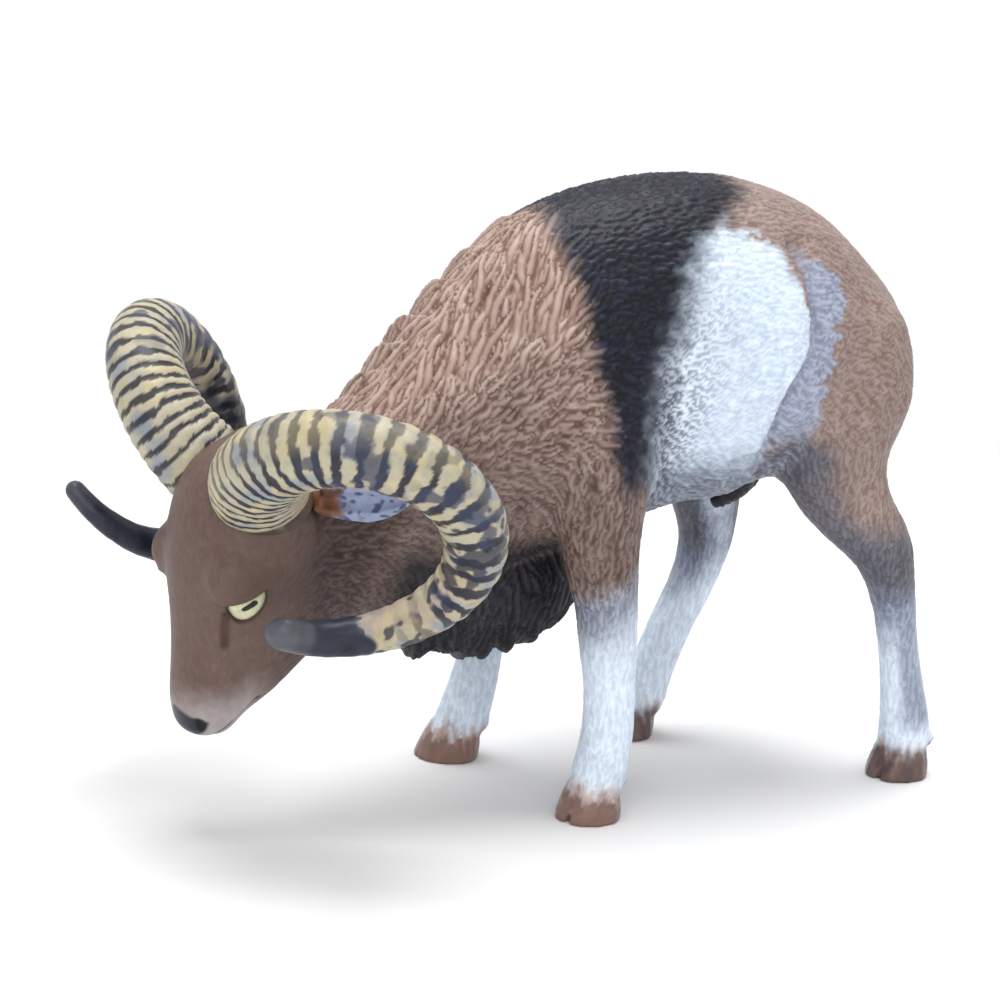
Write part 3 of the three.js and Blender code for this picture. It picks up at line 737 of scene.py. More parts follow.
@dataclass(frozen=True)
class Eye:
    """A slanting eye under a straight upper lid, with a bar of a pupil.

    Its measures are millimetres from its middle, back along the eye and up across it, and outward is
    the way that it looks.
    """

    middle: Place
    half_width: float = 1.9
    half_height: float = 2.45
    bowl_middle: tuple[float, float] = (0.15, 0.1)
    lid_slope: float = 0.44
    lid_height: float = 0.62
    pupil_start: tuple[float, float] = (0.07, -0.4)
    pupil_end: tuple[float, float] = (0.81, 0.22)
    pupil_radius: float = 0.44
    surround: float = 3.5
    outward: Place = (-0.35, 0.88, -0.32)

    def place(self, points: Array) -> tuple[Array, Array, Array]:
        """Measure points in the eye's own axes.

        Args:
            points: Places on the skin.

        Returns:
            Distance back along the eye, up across it and out of its surface.
        """
        outward = np.array(self.outward)
        outward[1] = math.copysign(outward[1], self.middle[1] - MID_Y)
        outward /= np.linalg.norm(outward)
        back = np.array([1.0, 0.0, 0.0])
        back -= (back @ outward) * outward
        back /= np.linalg.norm(back)
        up = np.cross(outward, back)
        up *= math.copysign(1, up[2])
        rest = points - np.array(self.middle)
        return rest @ back, rest @ up, rest @ outward

    def lid(self, points: Array) -> Array:
        """Height of each point above the straight edge of the upper lid."""
        back, up, _ = self.place(points)
        return up - self.lid_height - self.lid_slope * back

    def rim(self, points: Array) -> Array:
        """Measure how far points are outside the part of the eye that shows.

        Args:
            points: Places on the skin.

        Returns:
            Millimetres for each point, negative inside.
        """
        back, up, _ = self.place(points)
        middle_back, middle_up = self.bowl_middle
        bowl = np.hypot((back - middle_back) / self.half_width, (up - middle_up) / self.half_height) - 1
        return np.maximum(bowl * self.half_height, self.lid(points))

    def pupil(self, points: Array) -> Array:
        """Measure how far points are outside the slanting bar of the pupil.

        Args:
            points: Places on the skin.

        Returns:
            Millimetres for each point, negative inside.
        """
        back, up, _ = self.place(points)
        bar = np.array(self.pupil_end) - np.array(self.pupil_start)
        rest = np.stack([back, up], axis=1) - np.array(self.pupil_start)
        share = np.clip(rest @ bar / (bar @ bar), 0, 1)
        return np.linalg.norm(rest - share[:, None] * bar, axis=1) - self.pupil_radius

    def near(self, points: Array) -> Array:
        """Give a share of 1 round the eye, falling off outside it."""
        away = np.linalg.norm(points - np.array(self.middle), axis=1)
        return np.exp(-((away / self.surround) ** 4))

    def relief(self, points: Array) -> Array:
        """Work out the lift of the ball, the lid and the pouch below it.

        Args:
            points: Places on the skin.

        Returns:
            Millimetres for each point.
        """
        rim = self.rim(points)
        lid = self.lid(points)
        ball = 0.18 * ease(0.1, -0.9, rim)
        edge = -0.22 * np.exp(-((rim / 0.22) ** 2))
        upper = 0.3 * np.exp(-(((lid - 0.5) / 0.45) ** 2))
        pouch = 0.16 * np.exp(-(((rim - 0.55) / 0.35) ** 2)) * ease(0.2, -0.2, lid)
        return self.near(points) * (ball + edge + upper + pouch)


EYES = (Eye(LEFT_EYE), Eye(RIGHT_EYE))


@dataclass(frozen=True)
class Brush:
    """How one stroke of fur is pressed, against the style of its zone.

    Pairs give the least share of the style, and what chance adds to it. Turns are in radians, and a
    stroke of full_length turns least.
    """

    length: tuple[float, float] = (0.7, 0.6)
    half_width: tuple[float, float] = (0.4, 0.25)
    turn: float = 0.5
    turn_lost: float = 0.3
    full_length: float = 6.0
    sway: float = 0.25
    waves: float = 0.9
    swell: float = 0.8
    roundness: float = 0.6
    groove: float = 0.14
    facing: float = 0.35
    root_blend: float = 0.3


@dataclass
class Coat:
    """Forms, moulded fur and paint of the skin.

    The lines of the pattern are drawn from the side: pairs of height and place along the body, or of
    place and height for the top of the saddle and the crest. The teeth are pairs of place and lift.
    A lie of the fur is in degrees, 0 towards the tail and 90 up: neck_lie goes by the height above the
    middle line of the neck, and body_lie by the height. sweep and stray are how far the fur wanders
    from its lie, and a comb is how far fine lines draw a border in and out.
    """

    skin: Skin
    brush: Brush = Brush()
    seed: int = 11
    height: Array = field(init=False)
    depth: Array = field(init=False)
    roots: Array = field(init=False)
    facing: Array = field(init=False)
    colour: Array = field(init=False)

    band_front: Line = (
        (34, 0.6), (39.7, 0.5), (42.4, -0.7), (46.6, -1.3), (51.4, -3.0), (55.9, -3.6), (60.3, -4.3),
        (63.5, -4.6), (66, -3.2), (70, -1.0),
    )
    band_rear: Line = (
        (34, 5.0), (40.5, 4.6), (44, 4.6), (48, 4.6), (51.3, 5.1), (55, 6.4), (58, 7.6), (61.4, 9.1),
        (63.7, 11), (65.8, 14.6), (67.3, 18.5), (70, 22),
    )
    saddle_top: Line = (
        (6, 66.5), (12, 66), (14.9, 65.2), (17.3, 64.3), (20.1, 62.6), (21.8, 60), (23, 57), (24, 52),
    )
    fold: Line = (
        (34, 21.5), (39.6, 20.7), (42.7, 20.5), (45.8, 20.7), (48.2, 21.7), (50.7, 23.3), (52.5, 24.2),
        (57.6, 24.3), (60.3, 24), (62.7, 23), (68, 20),
    )
    streak_rear: Line = (
        (38, 24), (42.6, 26), (46.7, 26.4), (48.5, 25.9), (50, 27.1), (54.7, 27.7), (57.2, 29.3), (59, 28.4),
        (60.9, 26.3), (62.5, 23.5),
    )
    crest: Line = (
        (-30, 38.5), (-24.2, 45.1), (-14.1, 55.7), (-8.1, 62.2), (-2.9, 65.5), (4, 67.5), (20, 68.2),
    )
    teeth: Line = (
        (-26.0, 0.0), (-23.4, 0.5), (-20.6, 0.8), (-18.1, 0.95), (-15.6, 1.15), (-12.1, 1.05), (-8.9, 0.6),
        (-4.6, 0.35),
    )
    tooth_lift: float = 1.2
    tooth_drop: float = 0.45
    tooth_reach: float = 6.0
    fold_swell: float = 0.5
    saddle_comb: float = 1.3
    streak_comb: float = 0.8
    belly_comb: float = 0.8
    hoof_comb: float = 0.9
    hoof_height: float = 4.8
    band_comb: float = 0.9
    band_overlap: float = 2.4
    band_fade: tuple[float, float] = (6.2, 2.0)
    flank_spot: tuple[float, float] = (24.6, 39.2)
    flank_radius: float = 2.6
    leg_comb: float = 0.5
    leg_ahead: float = 2.0
    far_thigh_rise: float = 12.0
    muzzle_slope: float = 0.25
    muzzle_x: float = -40.0

    neck_middle: tuple[float, float] = (-12.0, 41.0)
    neck_up: tuple[float, float] = (-0.454, 0.891)
    neck_lie: Line = ((-8, -60), (-3, -25), (1, 8), (5, 40), (9, 72), (13, 94))
    body_lie: Line = ((30, -80), (36, -62), (42, -42), (50, -20), (60, -10), (68, -4))
    rump_turn: float = 26.0
    hanging_lie: float = -86.0
    nose_lie: float = 118.0
    nose_turn: float = 100.0
    sweep: float = 16.0
    stray: float = 7.0
    evening: float = 0.12
    sunk: float = 0.5
    full_depth: float = 1.2
    least_depth: float = 0.03
    facing_rounds: int = 10
    own_look: float = 0.7
    root_look: float = 0.3
    look_wander: float = 0.4

    def build(self) -> None:
        """Model, comb and paint the skin."""
        self._forms()
        self._comb()
        self._paint()

    def _forms(self) -> None:
        """Press the folds and swell the muscles, the lids and the lips."""
        points = self.skin.points
        amount = sum(form.value.amount(points) for form in Form)
        away = Form.FOLD.value.distance(points)
        ahead = curve(points[:, 2], self.fold) - points[:, 0]
        swell = ease(-0.3, 0.6, ahead) * ease(9, 1, ahead) * ease(66, 58, points[:, 2]) * ease(14, 8, away)
        amount = amount + self.fold_swell * swell * self.skin.shares[Node.TRUNK]
        for eye in EYES:
            amount = amount + eye.relief(points)
        self.skin.lift(amount)
        self.facing = self.skin.spread(self.skin.normals, self.facing_rounds)

    def _above_neck(self, points: Array) -> Array:
        """Measure how far points are above the middle line of the neck.

        Args:
            points: Places on the skin.

        Returns:
            Millimetres for each point.
        """
        (middle_x, middle_z), (up_x, up_z) = self.neck_middle, self.neck_up
        return up_x * (points[:, 0] - middle_x) + up_z * (points[:, 2] - middle_z)

    def _crest_share(self, points: Array) -> Array:
        """Give the share of the crest's long strands at each point."""
        return Border.CREST_FOOT.at(self._above_neck(points)) * Border.CREST_REAR.at(points[:, 0])

    def zones(self, points: Array) -> Iterator[tuple[Zone, Array]]:
        """Lay the zones of the coat, each over the ones before.

        Args:
            points: Where each point of the skin looks its zone up.

        Yields:
            A zone and its share at each point.
        """
        yield Zone.MANE, np.ones(len(points))
        yield Zone.CREST, self._crest_share(points)
        yield from self._trunk_zones(points)
        yield from self._leg_zones(points)
        yield from self._head_zones(points)

    def _trunk_zones(self, points: Array) -> Iterator[tuple[Zone, Array]]:
        """Lay the zones of the trunk, from the shoulder to the belly.

        Args:
            points: Where each point of the skin looks its zone up.

        Yields:
            A zone and its share at each point.
        """
        x, _, z = points.T
        trunk = self.skin.shares[Node.TRUNK]
        body = trunk + self.skin.part(*FRONT_LEGS) + self.skin.part(*HIND_LEGS)
        behind_band = x - curve(z, self.band_rear)
        behind_fold = x - curve(z, self.fold)
        lines = Grain.PATTERN_LINES.at(points)
        yield Zone.SHOULDER, Border.SHOULDER_TOP.at(z) * Border.SHOULDER_REAR.at(x)
        yield Zone.RUMP, Border.RUMP_FRONT.at(behind_band) * body
        below_top = curve(x, self.saddle_top) - z + self.saddle_comb * lines
        saddle = Border.SADDLE_FRONT.at(behind_band) * Border.SADDLE_REAR.at(behind_fold)
        saddle = saddle * Border.SADDLE_TOP.at(below_top)
        yield Zone.SADDLE, saddle * body * Border.SADDLE_FOOT.at(z)
        behind_streak = x - curve(z, self.streak_rear) + self.streak_comb * lines
        streak = Border.STREAK_FRONT.at(behind_fold) * Border.STREAK_REAR.at(behind_streak)
        streak = streak * Border.STREAK_FOOT.at(z) * Border.STREAK_TOP.at(z)
        yield Zone.STREAK, streak * body
        dark = Border.BAND_FRONT.at(x - curve(z, self.band_front)) * Border.BAND_FOOT.at(z)
        past = behind_band + self.band_overlap + self.band_comb * Grain.BAND_FLECKS.at(points)
        fade = self.band_fade[0] + self.band_fade[1] * Border.BAND_WIDENS.at(z)
        yield Zone.BAND, dark * Border.BAND_REAR.at(past / fade) * body
        away_x, away_z = ((place - spot) / self.flank_radius for place, spot in zip((x, z), self.flank_spot))
        flank = np.exp(-(away_x ** 2) - away_z ** 2) * Border.BEHIND_FOLD.at(behind_fold)
        yield Zone.FLANK, np.clip(1.3 * flank, 0, 1)
        belly = 0.9 * Border.BELLY_TOP.at(z + self.belly_comb * lines) * trunk
        yield Zone.BELLY, belly * Border.BELLY_FRONT.at(x) * Border.BELLY_REAR.at(x)

    def _leg_zones(self, points: Array) -> Iterator[tuple[Zone, Array]]:
        """Lay the zones of the legs, whose white starts lower on what faces ahead.

        Args:
            points: Where each point of the skin looks its zone up.

        Yields:
            A zone and its share at each point.
        """
        x, y, z = points.T
        front, hind = self.skin.part(*FRONT_LEGS), self.skin.part(*HIND_LEGS)
        ahead = -self.facing[:, 0]
        inner = Border.LEG_INNER.at(np.abs(y - MID_Y))
        outer = np.abs(self.facing[:, 1]) * Border.FACES_OUT.at(self.facing[:, 1] * np.sign(y - MID_Y))
        yield Zone.SHOULDER, front * Border.FORELEG_TOP.at(z) * Border.FORELEG_REAR.at(x)
        fading = z + self.leg_comb * Grain.FORELEG_FADING.at(points) + self.leg_ahead * ahead
        yield Zone.SHADED, 0.8 * front * Border.FORELEG_SHADE.at(fading)
        yield Zone.LEG, front * Border.FORELEG_WHITE.at(fading)
        thigh = 0.85 * hind * Border.FACES_AHEAD.at(ahead) * Border.THIGH_TOP.at(z)
        yield Zone.FLANK, thigh * Border.BEHIND_FOLD.at(x - curve(z, self.fold))
        rise = self.far_thigh_rise * self.skin.shares[Node.HIND_RIGHT] * inner
        fading = z + self.leg_comb * Grain.HIND_LEG_FADING.at(points) - rise
        yield Zone.FLANK, 0.95 * hind * Border.HIND_LEG_GREY.at(fading)
        yield Zone.SHADED, hind * Border.HIND_LEG_SHADE.at(fading)
        pale = 1 - 0.85 * Border.OUTER_SIDE.at(outer) * Border.ABOVE_HOOF.at(z)
        yield Zone.LEG, hind * Border.HIND_LEG_WHITE.at(fading + self.leg_ahead * ahead) * pale
        over_hoof = z - self.hoof_height - self.hoof_comb * Grain.HOOF_HAIRS.at(points)
        yield Zone.HOOF, (front + hind) * Border.HOOF_TOP.at(over_hoof)

    def _head_zones(self, points: Array) -> Iterator[tuple[Zone, Array]]:
        """Lay the zones of the ruff, the throat and the head, with painted shade on the cheek under the
        horn, and the pale patch under the tail.

        Args:
            points: Where each point of the skin looks its zone up.

        Yields:
            A zone and its share at each point.
        """
        x, _, z = points.T
        part = self.skin.shares
        trunk, head = part[Node.TRUNK], part[Node.HEAD]
        yield Zone.RUFF, np.clip(part[Node.RUFF] * 1.4 + part[Node.TUFT] * 1.5, 0, 1)
        throat = trunk * Border.THROAT_TOP.at(z) * Border.THROAT_FRONT.at(x)
        yield Zone.RUFF, throat * Border.THROAT_REAR.at(x)
        # Painted shade: the cheek and neck under the horn are painted darker
        yield Zone.SHADED_CHEEK, Border.SHADED_CHEEK_REAR.at(x) * Border.SHADED_CHEEK_TOP.at(z) * (trunk + head)
        yield Zone.FACE, head * Border.FACE_REAR.at(x)
        lower = z - self.muzzle_slope * (x - self.muzzle_x)
        yield Zone.MUZZLE, head * Border.MUZZLE_TOP.at(lower) * Border.MUZZLE_REAR.at(x)
        patch = trunk * Border.RUMP_PATCH_FRONT.at(x) * Border.RUMP_PATCH_TOP.at(z)
        yield Zone.LEG, 0.8 * patch

    def _flow(self) -> Array:
        """Find the way the fur lies.

        Returns:
            A unit vector in the surface for each point.
        """
        points, normals = self.skin.points, self.skin.normals
        x, _, z = points.T
        part = self.skin.shares
        neck = curve(self._above_neck(points), self.neck_lie) * (1 - 0.4 * ease(-9, -2, x))
        body = curve(z, self.body_lie) - self.rump_turn * ease(24, 40, x)
        angle = neck + (body - neck) * ease(-6, 1, x)
        legs = self.skin.part(*FRONT_LEGS, *HIND_LEGS) * ease(44, 38, z)
        hanging = np.clip(legs + part[Node.RUFF] + part[Node.TUFT], 0, 1)
        angle = angle + (self.hanging_lie - angle) * hanging
        face = self.nose_lie - self.nose_turn * ease(-38, -31, x)
        angle = angle + (face - angle) * part[Node.HEAD]
        calm = 1 - 0.6 * self._crest_share(points)
        wander = self.sweep * Grain.FLOW_SWEEP.at(points) + self.stray * Grain.FLOW_STRAY.at(points)
        angle = angle + calm * wander
        turn = np.radians(angle)
        way = np.stack([np.cos(turn), np.zeros(len(x)), np.sin(turn)], axis=1)
        way -= (way * normals).sum(1)[:, None] * normals
        return way / np.maximum(np.linalg.norm(way, axis=1), TINY)[:, None]

    def _style(self) -> Array:
        """Blend the zones' fur, which fades out round the eyes.

        Returns:
            The traits of the fur for each point.
        """
        points = self.skin.points
        style = np.zeros((len(points), len(Trait)))
        for zone, share in self.zones(points):
            style += np.clip(share, 0, 1)[:, None] * (zone.fur.row() - style)
        style[:, Trait.HEIGHT] *= 1 - np.clip(sum(eye.near(points) for eye in EYES), 0, 1)
        return style

    def _areas(self) -> Array:
        """Work out how much of the skin each point stands for.

        Returns:
            Square millimetres for each point.
        """
        points, edges = self.skin.points, self.skin.edges
        lengths = np.linalg.norm(points[edges[:, 0]] - points[edges[:, 1]], axis=1)
        total = np.bincount(edges.ravel(), np.repeat(lengths, 2), len(points))
        degree = np.bincount(edges.ravel(), minlength=len(points))
        return np.minimum(self.skin.voxel ** 2, (total / degree) ** 2)

    def _comb(self) -> None:
        """Press overlapping strokes into the skin, and raise the teeth of the crest and the fringe."""
        skin = self.skin
        count = len(skin.points)
        style, way = self._style(), self._flow()
        draw = np.random.default_rng(self.seed)
        chosen = np.flatnonzero(draw.random(count) < style[:, Trait.COVER] * self._areas())
        draw.shuffle(chosen)
        self.height = np.zeros(count)
        self.roots = np.arange(count)
        tree = KDTree(count)
        for index, point in enumerate(skin.points):
            tree.insert(point, index)
        tree.balance()
        for root in chosen:
            self._stroke(tree, root, style[root], way[root], draw)
        high = style[:, Trait.HEIGHT]
        calm = skin.spread(self.height, 1, self.evening)
        self.depth = np.clip(calm / np.maximum(self.full_depth * high, self.least_depth), 0, 1)
        skin.lift(calm - self.sunk * high + self._crest() + self._fringe())
        skin.points[:, 2] = np.maximum(skin.points[:, 2], SOLE)
        skin.write()

    def _stroke(
        self, tree: KDTree, root: int, style: Array, way: Array, draw: np.random.Generator
    ) -> None:
        """Press one stroke, raised towards its tip, over what lies there.

        Args:
            tree: Finds the points near a place.
            root: Point where the stroke starts.
            style: The traits of the fur there.
            way: Way in which the fur lies.
            draw: Source of the strokes' small differences.
        """
        skin, brush = self.skin, self.brush
        spin, stretch, spread, bend, phase, level = draw.random(6)
        length = style[Trait.LENGTH] * (brush.length[0] + brush.length[1] * stretch)
        half = style[Trait.WIDTH] * (brush.half_width[0] + brush.half_width[1] * spread)
        normal = skin.normals[root]
        side = np.cross(normal, way)
        turn = (brush.turn - brush.turn_lost * min(length / brush.full_length, 1)) * (spin - 0.5)
        along = math.cos(turn) * way + math.sin(turn) * side
        side = np.cross(normal, along)
        start = skin.points[root]
        found = tree.find_range(start + 0.5 * length * along, 0.6 * length)
        if not found:
            return
        near = np.array([index for _, index, _ in found])
        rest = skin.points[near] - start
        share = rest @ along / length
        sway = style[Trait.WAVE] * length * brush.sway * (1 + bend)
        wave = sway * np.sin(2 * math.pi * (brush.waves * share + phase))
        inside = np.clip(share, 0, 1)
        reach = half * np.sin(math.pi * inside ** brush.swell) ** brush.roundness + TINY
        off = np.abs(rest @ side - wave + wave[np.argmin(np.abs(share))])
        facing = skin.normals[near] @ normal > brush.facing
        held = (share > 0) & (share < 1) & (off < reach + brush.groove) & facing
        ridge = np.clip(1 - (off / reach) ** 3, 0, 1)
        rise = style[Trait.HEIGHT] * (0.25 * level + ridge * (0.5 + 0.45 * inside))
        blend = ease(0, brush.root_blend, inside[held])
        touched = near[held]
        self.height[touched] += blend * (rise[held] - self.height[touched])
        self.roots[touched[blend > 0.5]] = root

    def _crest(self) -> Array:
        """Work out the teeth that stand on the far side of the crest.

        Returns:
            Lift of each point.
        """
        points = self.skin.points
        far = points[:, 1] - MID_Y
        broken = (0.15 + 0.75 * ease(1.5, -2, far)) * Grain.CREST_BREAKS.at(points)
        along = points[:, 0] + broken + 0.1 * far
        below = np.clip(curve(points[:, 0], self.crest) - points[:, 2], 0, None)
        lift = np.zeros(len(points))
        for (root, _), (tip, height) in zip(self.teeth, self.teeth[1:]):
            share = np.clip((along - root) / (tip - root), 0, 1)
            lift = np.maximum(lift, height * share * ease(tip + self.tooth_drop, tip, along))
        lift = self.tooth_lift * lift * ease(-0.5, 4.0, far) * np.exp(-((below / self.tooth_reach) ** 2))
        return lift * self.skin.shares[Node.TRUNK]

    def _fringe(self) -> Array:
        """Work out the hanging tips along the lower edge of the ruff, and the swell of the tuft.

        Returns:
            Lift of each point.
        """
        points = self.skin.points
        tips = ease(-0.1, 0.7, Grain.RUFF_TIPS.at(points))
        ruff = 1.3 * tips * ease(20.5, 17.5, points[:, 2]) * self.skin.shares[Node.RUFF]
        return ruff + 0.5 * self.skin.shares[Node.TUFT]

    def _paint(self) -> None:
        """Paint the zones with dark grooves and brushed ridges, and then the marks."""
        points = self.skin.points
        looked = self.own_look * points + self.root_look * points[self.roots]
        looked[:, 2] += self.look_wander * Grain.BRUSH_UP.at(points)
        looked[:, 0] += self.look_wander * Grain.BRUSH_BACK.at(points)
        tones = np.zeros((len(points), 3, 3))
        rough = np.zeros(len(points))
        for zone, share in self.zones(looked):
            held = np.clip(share, 0, 1)
            tones += held[:, None, None] * (zone.tone.colours() - tones)
            rough += held * (zone.tone.rough - rough)
        level = np.clip(self.depth + 0.08 * Grain.BRUSH_LEVEL.at(points), 0, 1)[:, None]
        lower = np.clip(2 * level, 0, 1)
        upper = np.clip(2 * level - 1, 0, 1)
        colour = tones[:, 0] + lower * (tones[:, 1] - tones[:, 0])
        colour += upper * (tones[:, 2] - tones[:, 1])
        colour *= 1 + 0.06 * Grain.COAT_CLOUDS.at(points)[:, None]
        rough = rough + 0.05 * Grain.COAT_DULLNESS.at(points)
        self.colour = np.column_stack([np.clip(colour, DARKEST, 1), np.clip(rough, 0.15, 0.9)])
        self._trunk_marks()
        self._hoof_marks()
        self._face_marks()

    def _trunk_marks(self) -> None:
        """Paint shade into the groove of the fold, and darken the strokes between the band and the saddle.
        """
        points = self.skin.points
        trunk = self.skin.shares[Node.TRUNK]
        away = Form.FOLD.value.distance(points)
        # Painted shade along the groove pressed at the fold
        Mark.FOLD_PAINTED_SHADE.lay(self.colour, 0.55 * np.exp(-((away / 0.38) ** 2)) * trunk)
        edge = points[:, 0] - curve(points[:, 2], self.band_rear)
        strokes = ease(-3, 0, edge) * ease(9, 1, edge) * ease(64, 44, points[:, 2])
        Mark.DARK_STROKE.lay(self.colour, 0.85 * strokes * trunk * ease(0.5, 0.15, self.depth))

    def _hoof_marks(self) -> None:
        """Streak the front hooves pale, and darken the hind ones towards the ground."""
        points = self.skin.points
        z = points[:, 2]
        grain = Grain.HOOF_STREAKS.at(points)
        streaks = ease(1.5, 3.5, z) * ease(5.5, 4.5, z) * ease(0.0, 0.6, grain)
        Mark.HOOF_STREAK.lay(self.colour, 0.6 * self.skin.part(*FRONT_LEGS) * streaks)
        # The hind hooves are painted darker below their tops
        hind_dark = ease(5.2, 3.8, z) * (0.6 + 0.4 * grain)
        Mark.HIND_HOOF_DARK.lay(self.colour, self.skin.part(*HIND_LEGS) * hind_dark)

    def _face_marks(self) -> None:
        """Paint the eyes, the nose, the mouth and the fine lines of the face."""
        points = self.skin.points
        x, y, z = points.T
        head = self.skin.shares[Node.HEAD]
        side = np.abs(y - MID_Y)
        tear = Form.TEAR.value.distance(points)
        Mark.TEAR.lay(self.colour, 0.8 * ease(0.68, 0.3, tear))
        pad = ease(0.3, -0.3, z - 14.6 + 0.32 * side - 0.1 * Grain.NOSE_EDGE.at(points))
        pad = pad * ease(-41.2, -41.6, x - 0.12 * side)
        Mark.NOSE_PAD.lay(self.colour, pad * head)
        hole = Form.NOSTRIL.value
        beside = side - hole.side
        nostril = np.hypot(beside / 0.55, (z - hole.z - 0.5 * beside) / 0.9)
        Mark.NOSTRIL.lay(self.colour, ease(1.2, 0.7, nostril) * pad)
        mouth = Form.MOUTH.value.distance(points)
        Mark.MOUTH.lay(self.colour, 0.9 * ease(0.42, 0.12, mouth) * head)
        for eye in EYES:
            near = eye.near(points)
            rim = eye.rim(points)
            Mark.EYE_RIM.lay(self.colour, near * ease(0.55, 0.1, rim))
            Mark.EYEBALL.lay(self.colour, near * ease(0.02, -0.16, rim))
            Mark.PUPIL.lay(self.colour, near * ease(0.06, -0.06, eye.pupil(points)) * ease(0.0, -0.1, rim))


@dataclass(frozen=True)
class Finish:
    """Brushed paint on soft plastic, read from the paint that lies on the points of a piece.

    grain is cells to the metre, grain_depth is in millimetres, and speckle is how far the grain
    shades the paint. fine_grain is how much finer the grain of the bumps is.
    """

    name: str
    grain: float
    grain_depth: float
    sheen_coat: float
    sheen_rough: float = 0.3
    specular: float = 0.22
    contrast: tuple[float, float] = (0.3, 0.7)
    speckle: tuple[float, float] = (0.9, 1.08)
    fine_grain: float = 5.0
    bump: float = 0.35
    detail: float = 3.0

    def material(self) -> bpy.types.Material:
        """Make the material, or find it where it has been made.

        Returns:
            The node material of this finish.
        """
        found = bpy.data.materials.get(self.name)
        if found:
            return found
        material = bpy.data.materials.new(self.name)
        material.use_nodes = True
        nodes, links = material.node_tree.nodes, material.node_tree.links
        shader = nodes["Principled BSDF"]
        shader.inputs["Specular IOR Level"].default_value = self.specular
        shader.inputs["Coat Weight"].default_value = self.sheen_coat
        shader.inputs["Coat Roughness"].default_value = self.sheen_rough
        paint = nodes.new("ShaderNodeAttribute")
        paint.attribute_name = PAINT
        place = nodes.new("ShaderNodeTexCoord")
        speckle = self._noise(material, place, self.grain)
        grains = self._noise(material, place, self.fine_grain * self.grain)
        shade = nodes.new("ShaderNodeMapRange")
        shade.inputs["From Min"].default_value, shade.inputs["From Max"].default_value = self.contrast
        shade.inputs["To Min"].default_value, shade.inputs["To Max"].default_value = self.speckle
        links.new(speckle.outputs["Fac"], shade.inputs["Value"])
        tint = nodes.new("ShaderNodeVectorMath")
        tint.operation = "SCALE"
        links.new(paint.outputs["Color"], tint.inputs[0])
        links.new(shade.outputs["Result"], tint.inputs["Scale"])
        links.new(tint.outputs["Vector"], shader.inputs["Base Color"])
        dull = nodes.new("ShaderNodeMath")
        dull.operation = "MULTIPLY"
        links.new(paint.outputs["Alpha"], dull.inputs[0])
        links.new(shade.outputs["Result"], dull.inputs[1])
        links.new(dull.outputs["Value"], shader.inputs["Roughness"])
        bump = nodes.new("ShaderNodeBump")
        bump.inputs["Strength"].default_value = self.bump
        bump.inputs["Distance"].default_value = self.grain_depth * MM
        links.new(grains.outputs["Fac"], bump.inputs["Height"])
        links.new(bump.outputs["Normal"], shader.inputs["Normal"])
        return material

    def _noise(self, material: bpy.types.Material, place: bpy.types.Node, cells: float) -> bpy.types.Node:
        """Add a noise on object coordinates.

        Args:
            material: Material that the noise belongs to.
            place: Texture coordinates.
            cells: Cells to the metre.

        Returns:
            The noise node.
        """
        made = material.node_tree.nodes.new("ShaderNodeTexNoise")
        made.inputs["Scale"].default_value = cells
        made.inputs["Detail"].default_value = self.detail
        material.node_tree.links.new(place.outputs["Object"], made.inputs["Vector"])
        return made


class Slot(Enum):
    """Material slots of the record, each with the finish that dresses it."""

    COAT = ("coat", Finish("brushed_coat_paint", 900, 0.03, 0.02))
    HORN = ("horn", Finish("ribbed_horn_paint", 700, 0.02, 0.02))
    EAR = ("ear", Finish("ear_paint", 900, 0.02, 0.02))
    LEG = ("white_leg", Finish("leg_paint", 900, 0.02, 0.03))
    HAIR = ("dark_hair", Finish("dark_hair_paint", 900, 0.03, 0.02))

    def dress(self, name: str, mesh: bpy.types.Mesh, node: str) -> bpy.types.Object:
        """Put a finished mesh in the scene in place of its solid.

        Args:
            name: Name of the new piece.
            mesh: Its mesh, in millimetres.
            node: Solid that it stands for.

        Returns:
            The piece, riding on the body.
        """
        slot, finish = self.value
        mesh.transform(Matrix.Scale(MM, 4) @ Matrix.Translation(ORIGIN))
        mesh.materials.append(finish.material())
        piece = bpy.data.objects.new(name, mesh)
        bpy.context.scene.collection.objects.link(piece)
        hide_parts(node)
        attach(piece, BODY)
        LOG.info("%s: %d faces, stands for %s", name, len(mesh.polygons), node)
        return piece


NODE_SLOTS = {
    **dict.fromkeys((Node.TRUNK, Node.HEAD, Node.TAIL), Slot.COAT),
    **dict.fromkeys((*FRONT_LEGS, *HIND_LEGS), Slot.LEG),
    **dict.fromkeys((Node.RUFF, Node.TUFT), Slot.HAIR),
}


def put_paint(mesh: bpy.types.Mesh, colour: Array) -> None:
    """Store the paint of every point.

    Args:
        mesh: Mesh to paint.
        colour: Red, green, blue and roughness of each point.
    """
    layer = mesh.attributes.get(PAINT) or mesh.attributes.new(PAINT, "FLOAT_COLOR", "POINT")
    layer.data.foreach_set("color", colour.astype(np.float32).ravel())


